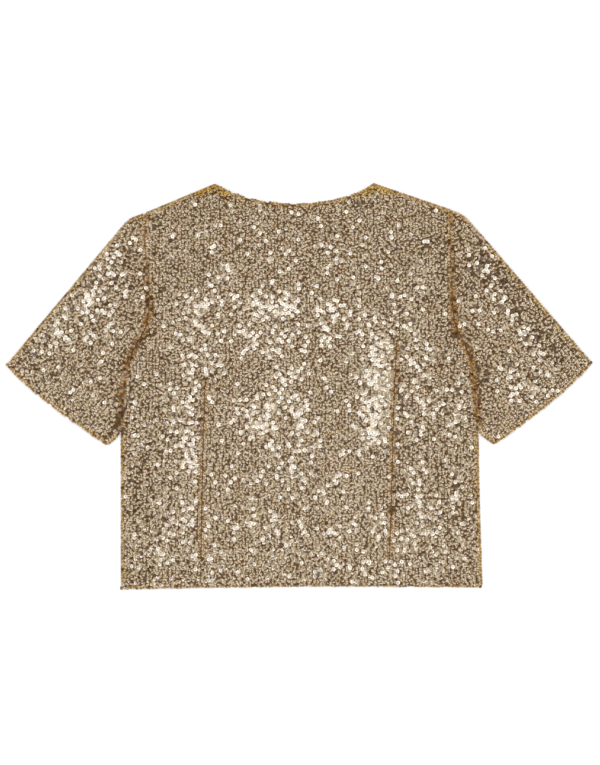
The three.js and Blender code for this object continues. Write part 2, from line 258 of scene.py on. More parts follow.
# Shady places, where a share of the sequins get a painted dim colour, painted shade that stands in for facing
# away from the light, in the same columns
SHADY = (
    (-186, 319, -206, 307, 5, 0.8),  # left underarm and side
    (-206, 307, -221, 273, 5, 0.8),
    (-221, 273, -227, 196, 5, 0.9),
    (-227, 204, -227, 198, 7, 0.9),
    (189, 326, 212, 296, 5, 0.7),  # right underarm and side
    (212, 296, 223, 263, 5, 0.7),
    (223, 263, 222, 196, 5, 0.5),
    (-133, 246, -121, 221, 6, 0.45),  # left dart
    (-121, 221, -119, 123, 4, 0.45),
    (124, 304, 117, 98, 5, 0.4),  # right dart
    (77, 479, 78, 479, 10, 0.9),  # neck
    (-111, 493, -101, 488, 7, 0.5),
    (-58, 469, -57, 469, 7, 0.4),
    (-61, 429, -60, 429, 6, 0.3),
    (-182, 458, -181, 458, 8, 0.5),  # left shoulder
    (-169, 432, -213, 406, 10, 0.3),
    (174, 436, 224, 392, 22, 0.3),  # right shoulder
    (156, 361, 157, 361, 10, 0.3),
    (227, 408, 314, 296, 12, 0.75),  # right sleeve
    (-269, 311, -268, 311, 6, 0.4),  # left sleeve
    (-338, 273, -313, 304, 7, 0.25),
    (-106, 317, -105, 317, 6, 0.3),  # back
    (-91, 244, -90, 244, 8, 0.25),
    (174, 229, 183, 186, 9, 0.3),
    (49, 129, 50, 129, 9, 0.4),  # waist
    (-71, 154, -70, 154, 6, 0.3),
    (172, 92, 214, 92, 7, 0.35),
    (113, 98, 114, 98, 8, 0.3),
    (-201, 148, -204, 86, 8, 0.6),  # left side
    (-198, 14, -197, 14, 8, 0.6),  # hem
    (-144, 54, -143, 54, 9, 0.25),
    (6, 61, 7, 61, 7, 0.25),
    (-200, 400, -330, 290, 60, 0.16),  # broad parts
    (200, 400, 330, 290, 60, 0.17),
    (-195, 250, -195, 20, 35, 0.2),
    (190, 250, 190, 60, 35, 0.16),
    (-194, 471, -191, 400, 4, 0.2),  # armholes
    (-191, 400, -186, 319, 4, 0.4),
    (188, 471, 188, 400, 4, 0.2),
    (188, 400, 188, 326, 4, 0.5),
)

# How strongly the shares of the last two tables count, and the most that they come to together
MARK_STRENGTH = 0.8
MARK_LIMIT = 1.5

# Rims: how cloth turns down at an edge, and the rings of points that show it
RIM_RADIUS = 1.8
RIM_DEPTHS = (0.0, 0.35, 1.0, 2.0)
EDGE_INSETS = {"free": 0.5, "sewn": 0.3, "seam": -0.25}
SEWN_EDGE_HEIGHT = 2.15
SEWN_EDGE_SPREAD = 0.15
FREE_EDGE_DROP = 0.7
FREE_EDGE_RISE = 0.3
SEAM_DROP = 1.1
SEAM_RISE = 0.4
OUTLINE_STEP = 3.5
LATTICE_CLEARANCE = 0.55


def srgb(hex_colour):
    """Linear colour of an sRGB hex value, with alpha."""
    values = [int(hex_colour[i : i + 2], 16) / 255 for i in (1, 3, 5)]
    return (*[v / 12.92 if v <= 0.04045 else ((v + 0.055) / 1.055) ** 2.4 for v in values], 1.0)


# Shape of the garment in plan and in height


def half_width(side, height):
    """Half width of the body at each height, through the table's rows without corners."""
    rows = np.array(SIDE_SEAM, float)
    column = 1 if side == "left" else 2
    heights = rows[:, 0]
    widths = rows[:, column]
    above = np.minimum(np.arange(len(rows)) + 1, len(rows) - 1)
    below = np.maximum(np.arange(len(rows)) - 1, 0)
    slopes = (widths[above] - widths[below]) / (heights[above] - heights[below])
    y = np.clip(height, heights[0], heights[-1])
    upper = np.clip(np.searchsorted(heights, y), 1, len(rows) - 1)
    lower = upper - 1
    step = heights[upper] - heights[lower]
    t = (y - heights[lower]) / step
    start = (1 + 2 * t) * (1 - t) ** 2 * widths[lower] + t * (1 - t) ** 2 * step * slopes[lower]
    end = t * t * (3 - 2 * t) * widths[upper] + t * t * (t - 1) * step * slopes[upper]
    return start + end


def body_side(side, up):
    """Points on the body's edge at shares of the way from the hem to the shoulder."""
    facts = SIDES[side]
    height = facts["hem"] + (facts["shoulder"] - facts["hem"]) * np.asarray(up, float)
    return np.stack([facts["sign"] * half_width(side, height), height], -1)


def neck_line(shares, depth):
    """Points on the neckline from the left neck point to the right one."""
    shares = np.asarray(shares, float)
    drop = 1 - np.abs(2 * shares - 1) ** NECK_ROUNDNESS
    return np.stack([NECK_LEFT + (NECK_RIGHT - NECK_LEFT) * shares, NECK_HEIGHT - depth * drop], -1)


def hem_line(shares):
    """Points on the hem from its left corner to its right one."""
    shares = np.asarray(shares, float)[:, None]
    left = body_side("left", 0)
    right = body_side("right", 0)
    rise = HEM_RISE * 4 * shares * (1 - shares)
    return left + (right - left) * shares + np.array([0, 1.0]) * rise


def segment_distance(points, start, end):
    """Distance of each point from each segment, as a table of points by segments."""
    run = end - start
    length = np.maximum((run**2).sum(-1), 1e-9)
    offset = points[:, None, :] - start[None, :, :]
    along = np.clip((offset * run).sum(-1) / length, 0, 1)
    return np.linalg.norm(offset - along[..., None] * run, axis=-1)


def line_distance(points, line):
    """Distance of each point from a line through corners."""
    line = np.asarray(line, float)
    return segment_distance(points, line[:-1], line[1:]).min(1)


def ridge_rise(points, table):
    """How far the ridges and troughs of a table lift the cloth at each point."""
    rise = np.zeros(len(points))
    for x0, y0, x1, y1, width, height in table:
        away = line_distance(points, [(x0, y0), (x1, y1)])
        rise += height * np.exp(-((away / width) ** 2))
    return rise


def ripple(points):
    """Slow unevenness of soft cloth between its creases."""
    heights = [noise.noise(Vector((x / RIPPLE_LENGTH, y / RIPPLE_LENGTH, 0.0))) for x, y in points]
    return RIPPLE_HEIGHT * np.array(heights)


def ease(distance, reach):
    """Soft rise from 0 at no distance to 1 well past the reach."""
    return 1 - np.exp(-((np.maximum(distance, 0) / reach) ** 2))


def smoothstep(values):
    """Smooth way from 0 to 1 as the values go from 0 to 1."""
    t = np.clip(values, 0, 1)
    return t * t * (3 - 2 * t)


def layer_gap(points, share):
    """Gap between the upper and the lower layer, where share says how loose the cloth is."""
    rise = ridge_rise(points, FOLDS) + ridge_rise(points, CREASES) + ripple(points)
    return np.clip(SEAM_GAP + share * (PUFF + rise), SEAM_GAP, LARGEST_GAP)


def top_height(x):
    """Height of the back's top edge at each place across it."""
    left = body_side("left", 1)
    right = body_side("right", 1)
    shares = np.linspace(0, 1, NECK_POINTS)
    edge = np.vstack([left, neck_line(shares, BACK_NECK_DEPTH), right])
    return np.interp(x, edge[:, 0], edge[:, 1])


def back_gap(points):
    """Gap under the back panel: sewn down at the sides and shoulders, freer at neck and hem."""
    x, y = points.T
    sides = ease(x + half_width("left", y), EDGE_EASE) * ease(half_width("right", y) - x, EDGE_EASE)
    free = np.where((x > NECK_LEFT) & (x < NECK_RIGHT), FREE_EDGE_SHARE, 0.0)
    top = free + (1 - free) * ease(top_height(x) - y, EDGE_EASE)
    hem = FREE_EDGE_SHARE + (1 - FREE_EDGE_SHARE) * ease(y, EDGE_EASE)
    return layer_gap(points, sides * top * hem)


def sleeve_gap(name, points):
    """Gap inside a sleeve: closed at its fold, underarm and armhole, looser towards the middle."""
    x, y = points.T
    edges = sleeve_edges(name)
    from_fold = line_distance(points, edges["fold"])
    from_seam = line_distance(points, edges["underarm"])
    from_cuff = line_distance(points, edges["cuff"])
    length = np.linalg.norm(np.subtract(SIDES[name]["head"], SIDES[name]["fold_end"]))
    seam = ease(np.abs(x) - half_width(name, y), EDGE_EASE)
    roll = 1 - np.exp(-from_fold / SLEEVE_ROLL)
    underarm = 1 - np.exp(-from_seam / SLEEVE_ROLL)
    fall = 1 - SLEEVE_FALL * from_fold / (from_fold + from_seam + 1e-6)
    cuff = CUFF_LOOSENESS + (1 - CUFF_LOOSENESS) * smoothstep(from_cuff / length / LOOSE_CUFF_LENGTH)
    return layer_gap(points, seam * roll * underarm * fall * cuff)


def rounded(corners, rounding):
    """A line through corner points, whose inner corners are rounded."""
    corners = np.asarray(corners, float)
    line = [corners[0]]
    for before, corner, after in zip(corners, corners[1:], corners[2:]):
        ends = []
        for other in (before, after):
            share = min(CORNER_SHARE, rounding / np.linalg.norm(other - corner))
            ends.append(corner + (other - corner) * share)
        for t in np.linspace(0, 1, CORNER_POINTS):
            line.append((1 - t) ** 2 * ends[0] + 2 * t * (1 - t) * corner + t * t * ends[1])
    return np.array([*line, corners[-1]])


def resample(line, step):
    """Points at even steps along a line."""
    lengths = np.concatenate([[0], np.cumsum(np.linalg.norm(np.diff(line, axis=0), axis=1))])
    count = max(2, round(lengths[-1] / step) + 1)
    places = np.linspace(0, lengths[-1], count)
    return np.stack([np.interp(places, lengths, line[:, axis]) for axis in (0, 1)], -1)


def sleeve_edges(name):
    """The four edges of a flat sleeve, in order round it from its cuff's inner corner."""
    facts = SIDES[name]
    mirror = np.array([facts["sign"], 1.0])
    fold_end = np.array(facts["fold_end"])
    seam_end = np.array(facts["seam_end"])
    shoulder = (half_width(name, facts["shoulder"]) + SEAM_GAP, facts["shoulder"] - SLEEVE_CLEARANCE)

    def beside(height, clearance):
        return np.stack([half_width(name, height) + clearance, np.asarray(height, float)], -1)

    heights = np.linspace(facts["seam_end"][1] + CUFF_CORNER_END, UNDERARM_HEIGHT, UNDERARM_POINTS)
    side = beside(heights, SLEEVE_CLEARANCE)
    corner = beside(facts["seam_end"][1] + CUFF_CORNER_RISE, SLEEVE_CLEARANCE)
    shares = np.linspace(0, 1, CUFF_POINTS)[:, None]
    skewed = shares**CUFF_BOW_SKEW
    outward = fold_end - np.array(facts["head"])
    outward = outward / np.linalg.norm(outward)
    cuff = fold_end + (seam_end - fold_end) * shares + outward * CUFF_BOW * 4 * skewed * (1 - skewed)
    return {
        "cuff": cuff * mirror,
        "underarm": rounded([seam_end, corner, *side], CUFF_CORNER_ROUNDING) * mirror,
        "armhole": beside(np.linspace(UNDERARM_HEIGHT, shoulder[1], ARMHOLE_POINTS), SEAM_GAP) * mirror,
        "fold": rounded([shoulder, facts["head"], fold_end], SLEEVE_HEAD_ROUNDING) * mirror,
    }


def panel_edges(neck_depth):
    """The edges of a body panel, in order round it from the left end of its hem."""
    shares = np.linspace(0, 1, EDGE_POINTS)
    under = (UNDERARM_HEIGHT - SIDES["right"]["hem"]) / (SIDES["right"]["shoulder"] - SIDES["right"]["hem"])
    under_left = UNDERARM_HEIGHT / SIDES["left"]["shoulder"]
    neck = neck_line(shares, neck_depth)[::-1]
    return {
        "hem": hem_line(shares),
        "right side": body_side("right", shares * under),
        "right armhole": body_side("right", under + (1 - under) * shares),
        "right shoulder": np.array([body_side("right", 1), neck[0]]),
        "neck": neck,
        "left shoulder": np.array([neck[-1], body_side("left", 1)]),
        "left armhole": body_side("left", 1 - (1 - under_left) * shares),
        "left side": body_side("left", under_left * (1 - shares)),
    }


# How each edge of each piece is finished
EDGE_FINISH = {
    "hem": "free",
    "neck": "free",
    "cuff": "free",
    "right side": "sewn",
    "left side": "sewn",
    "right shoulder": "sewn",
    "left shoulder": "sewn",
    "fold": "sewn",
    "underarm": "sewn",
    "right armhole": "seam",
    "left armhole": "seam",
    "armhole": "seam",
}


def signed_area(outline):
    """Area within a closed outline, which is positive if its points run anticlockwise."""
    x, y = outline.T
    return np.sum(x * np.roll(y, -1) - y * np.roll(x, -1)) / 2


def outline_of(edges, step):
    """One anticlockwise outline of a piece's edges, with the finish at each of its points."""
    points = []
    finishes = []
    for name, line in edges.items():
        line = resample(line, step)
        points.extend(line[:-1])
        finishes.extend([EDGE_FINISH[name]] * (len(line) - 1))
    points = np.array(points)
    if signed_area(points) < 0:
        points = points[::-1]
        finishes = finishes[::-1]
    return points, finishes


def flat_area(edges, layers):
    """Area of a piece's cloth when it is laid out flat, in square metres."""
    return layers * abs(signed_area(outline_of(edges, OUTLINE_STEP)[0])) * MM**2


def inset(points, depth):
    """A closed anticlockwise outline moved inwards by a depth, or by one for each point."""
    ahead = np.roll(points, -1, 0) - points
    ahead /= np.linalg.norm(ahead, axis=1, keepdims=True)
    behind = np.roll(ahead, 1, 0)
    inward = np.stack([-(ahead[:, 1] + behind[:, 1]), ahead[:, 0] + behind[:, 0]], -1)
    inward /= np.linalg.norm(inward, axis=1, keepdims=True)
    turn = np.maximum((inward * np.stack([-ahead[:, 1], ahead[:, 0]], -1)).sum(1), 0.5)
    return points + inward * (depth / turn)[:, None]


def inside(points, outline):
    """Which points lie within a closed outline."""
    found = np.zeros(len(points), bool)
    for start, end in zip(outline, np.roll(outline, -1, 0)):
        crosses = (start[1] > points[:, 1]) != (end[1] > points[:, 1])
        if start[1] != end[1]:
            at = start[0] + (points[:, 1] - start[1]) * (end[0] - start[0]) / (end[1] - start[1])
            found ^= crosses & (points[:, 0] < at)
    return found


def plan_mesh(edges, spacing):
    """Flat triangles over a piece: rings of points along its rim and a lattice within them.

    Gives the points, the triangles, and for each point its depth from the rim and the finish there.
    """
    outline, finishes = outline_of(edges, OUTLINE_STEP)
    outline = inset(outline, np.array([EDGE_INSETS[name] for name in finishes]))
    rings = [inset(outline, depth) for depth in RIM_DEPTHS]
    low = outline.min(0)
    high = outline.max(0)
    row_step = spacing * math.sqrt(0.75)
    rows = np.arange(low[1], high[1], row_step)
    starts = [low[0] + (row % 2) * spacing / 2 for row in range(len(rows))]
    lattice = np.array([(x, y) for start, y in zip(starts, rows) for x in np.arange(start, high[0], spacing)])
    lattice = lattice[inside(lattice, outline)]
    closed = np.vstack([outline, outline[:1]])
    clear = RIM_DEPTHS[-1] + LATTICE_CLEARANCE * spacing
    lattice = lattice[line_distance(lattice, closed) > clear]
    points = np.vstack([*rings, lattice])
    count = len(outline)
    rim = list(range(count))
    made = delaunay_2d_cdt([Vector(p) for p in points], [], [rim], 1, 1e-6, True)
    places = np.array([tuple(p) for p in made[0]])
    faces = np.array(made[2])
    faces = faces[inside(places[faces].mean(1), outline)]
    depth = np.full(len(places), RIM_RADIUS)
    finish = [""] * len(places)
    for i, found in enumerate(made[3]):
        if found and found[0] < count * len(RIM_DEPTHS):
            depth[i] = RIM_DEPTHS[found[0] // count]
            finish[i] = finishes[found[0] % count]
    return places, [tuple(face) for face in faces.tolist()], depth, finish


# Cloth


def rim_turn(depth):
    """Share of the way down that the cloth has turned at a depth from its edge."""
    t = np.clip(1 - np.asarray(depth) / RIM_RADIUS, 0, 1)
    return 1 - np.sqrt(1 - t * t)


def upper_face(gap, depth, finish):
    """Height of the outer face of an upper layer."""
    flat = 2 * WALL + gap - SEQUIN_ROOM
    sewn = flat - SEWN_EDGE_HEIGHT - SEWN_EDGE_SPREAD
    drops = {"free": FREE_EDGE_DROP, "seam": SEAM_DROP, "": 0.0}
    drop = np.array([sewn[i] if name == "sewn" else drops[name] for i, name in enumerate(finish)])
    return flat - drop * rim_turn(depth)


def lower_face(depth, finish):
    """Height of the outer face of a lower layer, which is its underside."""
    sewn = SEWN_EDGE_HEIGHT - SEWN_EDGE_SPREAD - SEQUIN_ROOM
    rises = {"sewn": sewn, "free": FREE_EDGE_RISE, "seam": SEAM_RISE, "": 0.0}
    rise = np.array([rises[name] for name in finish])
    return SEQUIN_ROOM + rise * rim_turn(depth)


def to_frame(points, heights):
    """Places in the frame, in metres."""
    moved = np.asarray(points, float) - np.array([MIDDLE_X, MIDDLE_HEIGHT])
    return np.column_stack([moved, heights]) * MM


def new_mesh(name, places, faces, edges=()):
    """An object at the origin with its place in its mesh."""
    mesh = bpy.data.meshes.new(name)
    mesh.from_pydata([tuple(p) for p in places], list(edges), faces)
    mesh.validate()
    piece = bpy.data.objects.new(name, mesh)
    bpy.context.scene.collection.objects.link(piece)
    return piece


def apply_modifiers(piece):
    """Turns the evaluated piece into its own plain mesh, without modifiers."""
    bpy.context.view_layer.update()
    evaluated = piece.evaluated_get(bpy.context.evaluated_depsgraph_get())
    mesh = bpy.data.meshes.new_from_object(evaluated)
    piece.modifiers.clear()
    old = piece.data
    piece.data = mesh
    bpy.data.meshes.remove(old)
    mesh.name = piece.name


def settle(piece, node=None):
    """Makes a finished piece part of the body, in the place of its solid if it has one."""
    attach(piece, BODY)
    if node:
        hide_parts(node)


def finish_cloth(piece, settings):
    """Gives a layer of cloth its thickness inwards, smooth faces and its material."""
    solidify = piece.modifiers.new("Thickness", "SOLIDIFY")
    solidify.thickness = settings.thickness
    solidify.offset = -1
    solidify.use_rim = True
    apply_modifiers(piece)
    piece.data.shade_smooth()
    piece.data.materials.clear()
    piece.data.materials.append(material_of("golden polyester net"))


def mark_places(piece, points):
    """Stores how smooth and how shady the cloth is at each of its points."""
    for name, table in (("smooth", SMOOTH), ("shady", SHADY)):
        share = np.clip(MARK_STRENGTH * ridge_rise(points, table), 0, MARK_LIMIT)
        stored = piece.data.attributes.new(name, "FLOAT", "POINT")
        stored.data.foreach_set("value", share.astype(np.float32))


def upper_layer(name, edges, gap_at, settings):
    """One sheet of cloth with its outer face up."""
    points, faces, depth, finish = plan_mesh(edges, settings.fine_step / MM)
    heights = upper_face(gap_at(points), depth, finish)
    piece = new_mesh(name, to_frame(points, heights), faces)
    mark_places(piece, points)
    finish_cloth(piece, settings)
    return piece


def lower_layer(name, edges, settings):
    """One flat sheet of cloth with its outer face down."""
    points, faces, depth, finish = plan_mesh(edges, settings.coarse_step / MM)
    faces = [face[::-1] for face in faces]
    piece = new_mesh(name, to_frame(points, lower_face(depth, finish)), faces)
    finish_cloth(piece, settings)
    return piece


def sleeve_tube(name, side, settings):
    """A flattened tube: an upper and a lower layer that share their points along fold and underarm."""
    points, faces, depth, finish = plan_mesh(sleeve_edges(side), settings.fine_step / MM)
    upper = upper_face(sleeve_gap(side, points), depth, finish)
    lower = lower_face(depth, finish)
    joined = (depth == 0) & (np.array(finish) == "sewn")
    upper[joined] = SEWN_EDGE_HEIGHT
    count = len(points)
    below = np.where(joined, np.arange(count), np.arange(count) + count)
    lower_faces = [tuple(int(below[i]) for i in face[::-1]) for face in faces]
    places = np.vstack([to_frame(points, upper), to_frame(points, lower)])
    piece = new_mesh(name, places, [*faces, *lower_faces])
    mark_places(piece, np.vstack([points, points]))
    build = bmesh.new()
    build.from_mesh(piece.data)
    bmesh.ops.delete(build, geom=[v for v in build.verts if not v.link_faces], context="VERTS")
    build.to_mesh(piece.data)
    build.free()
    finish_cloth(piece, settings)
    return piece


# Nodes


# Short names of nodes: kind, settings, the inputs that are filled in order, the output that is wanted
NODES = {
    name: ("ShaderNodeMath", {"operation": name.upper().replace(" ", "_")}, (0, 1, 2), 0)
    for name in (
        "absolute",
        "add",
        "divide",
        "floor",
        "greater than",
        "less than",
        "maximum",
        "multiply",
        "multiply add",
        "subtract",
    )
} | {
    "vector": ("ShaderNodeCombineXYZ", {}, (0, 1, 2), 0),
    "add vectors": ("ShaderNodeVectorMath", {"operation": "ADD"}, (0, 1), 0),
    "scale vector": ("ShaderNodeVectorMath", {"operation": "SCALE"}, (0, 3), 0),
    "vector length": ("ShaderNodeVectorMath", {"operation": "LENGTH"}, (0,), "Value"),
    "map range": ("ShaderNodeMapRange", {}, (0, 1, 2, 3, 4), 0),
    "random": ("FunctionNodeRandomValue", {"data_type": "FLOAT"}, (2, 3, 8, 7), 1),
    "turn": ("FunctionNodeRotateRotation", {"rotation_space": "LOCAL"}, (0, 1), 0),
    "mark": ("GeometryNodeInputNamedAttribute", {}, (0,), 0),
    "read mark": ("ShaderNodeAttribute", {}, (), "Fac"),
    "object coordinates": ("ShaderNodeTexCoord", {}, (), "Object"),
    "noise": ("ShaderNodeTexNoise", {}, ("Vector", "Scale", "Detail"), "Fac"),
    "mix colours": ("ShaderNodeMix", {"data_type": "RGBA"}, (0, 6, 7), 2),
}


def add_node(tree, kind, *inputs, out=0, **settings):
    """Adds a node with its settings, sets or links its inputs, and gives one of its outputs.

    Inputs come in their order, or as one dict by name or number. The kind may be a short name.
    """
    kind, ready, order, out = NODES.get(kind, (kind, {}, range(9), out))
    node = tree.nodes.new(kind)
    for name, value in (ready | settings).items():
        setattr(node, name, value)
    by_key = inputs[0] if inputs and isinstance(inputs[0], dict) else dict(zip(order, inputs))
    for key, value in by_key.items():
        if isinstance(value, bpy.types.NodeSocket):
            tree.links.new(value, node.inputs[key])
        else:
            node.inputs[key].default_value = value
    return node.outputs[out]


def new_tree(name, sockets):
    """A geometry tree, a function that adds nodes to it, and its inputs, given here by kind of socket."""
    tree = bpy.data.node_groups.new(name, "GeometryNodeTree")
    tree.interface.new_socket("Geometry", in_out="INPUT", socket_type="NodeSocketGeometry")
    for kind, names in sockets.items():
        for socket in names:
            tree.interface.new_socket(socket, in_out="INPUT", socket_type=f"NodeSocket{kind}")
    tree.interface.new_socket("Geometry", in_out="OUTPUT", socket_type="NodeSocketGeometry")
    return tree, partial(add_node, tree), tree.nodes.new("NodeGroupInput").outputs


def end_tree(tree, geometry, material):
    """Ends a tree with its real geometry in its material."""
    dressed = add_node(tree, "GeometryNodeSetMaterial", {"Geometry": geometry, "Material": material})
    output = tree.nodes.new("NodeGroupOutput")
    tree.links.new(dressed, output.inputs[0])
    return tree


def grow(piece, tree, values):
    """Runs a geometry tree on a piece with these values, and keeps the result as its mesh."""
    growth = piece.modifiers.new("Growth", "NODES")
    growth.node_group = tree
    for item in tree.interface.items_tree:
        if item.in_out == "INPUT" and item.name in values:
            growth[item.identifier] = values[item.name]
    apply_modifiers(piece)
    settle(piece)


# Sequins


# Darts: the lines where the back panel is taken in
DARTS = (
    ((-119, 259), (-121, 200), (-123, 120), (-124, 42)),
    ((120, 308), (117, 243), (116, 212), (113, 98), (111, 40)),
)
# The back's sequins are made in two halves
BACK_HALVES = {-1: "back_sequins_left", 1: "back_sequins_right"}
# The neck's corners, which are more golden than the other edges
GOLDEN_EDGES = (
    ((-126, 494), (-107, 501), (-90, 492)),
    ((76, 492), (93, 501), (112, 495)),
)
# Height of an upper layer's guides in millimetres, and a guide that is far from everything
GUIDE_HEIGHT = 3.0
FAR_GUIDE = [[(9, 9, 9), (9, 9, 9.1)]]
# An armhole's own rows draw nearer to it between these heights, to this share of their distance
NEARING_HEIGHTS = (330, 400)
NEARING_SHARES = (1.0, 0.65)
# How far the row of a free edge strays from its line, in millimetres
FREE_EDGE_STRAY = 0.7

# Chances that a sequin lies flat in a smooth place, is painted dim in a shady one, or does so elsewhere
SMOOTH_CHANCE = 0.48
SHADY_CHANCE = 0.5
STRAY_CHANCE = 0.01
# What lies flat is on top: how much higher and larger it is, and how much larger an edge row's are
TOP_LIFT = 3.0
TOP_GROWTH = 0.27
EDGE_ROW_GROWTH = 0.15

# Zones in the frame, in metres, each as the two places between which it starts or ends
ARMHOLE_REACH = (0.229, 0.236)
ARMHOLE_FOOT = (-0.06, -0.04)
ARMHOLE_HEAD = (0.2, 0.212)
BROWN_ARMHOLE = (0.16, 0.1)
HEM_REACH = (-0.244, -0.238)
# Shares of golden sequins: along edges, less along armholes and hem, and beside seams
EDGE_GILT = 0.5
ARMHOLE_PLAIN = 0.35
HEM_PLAIN = 0.4
SEAM_GILT = 0.15
ARMHOLE_BROWN = 0.9
SEAM_BROWN = 0.2
# The golden bands are full within this share of their width
FULL_BAND = 0.4
# How much less an edge row's sequins lean, and what is left of lean and tilt on the undersides
EDGE_ROW_CALM = -0.5
UNDERSIDE_LEAN = 0.5
UNDERSIDE_TILT = 0.4
# Columns and rows that the grid has over the cloth's own extent
SPARE_ROWS = 3
# The disc that stands for each sequin
DISC_SIDES = 8


def sequin_disc(settings):
    """A flat disc of eight sides, closed, with its own place on it as a share of its radius."""
    sides = DISC_SIDES
    radius = settings.diameter / 2
    angles = [2 * math.pi * i / sides for i in range(sides)]
    rim = [(radius * math.cos(a), radius * math.sin(a), 0) for a in angles]
    places = [*rim, (0, 0, -settings.film)]
    faces = [tuple(range(sides))]
    faces.extend(((i + 1) % sides, i, sides) for i in range(sides))
    disc = new_mesh("sequin_disc", places, faces)
    mesh = disc.data
    own = mesh.attributes.new("place", "FLOAT_VECTOR", "POINT")
    for i, place in enumerate(places):
        own.data[i].vector = (place[0] / radius, place[1] / radius, 0)
    mesh.shade_smooth()
    sharp = mesh.attributes.new("sharp_edge", "BOOLEAN", "EDGE")
    for i, edge in enumerate(mesh.edges):
        sharp.data[i].value = max(edge.vertices) < sides
    return disc


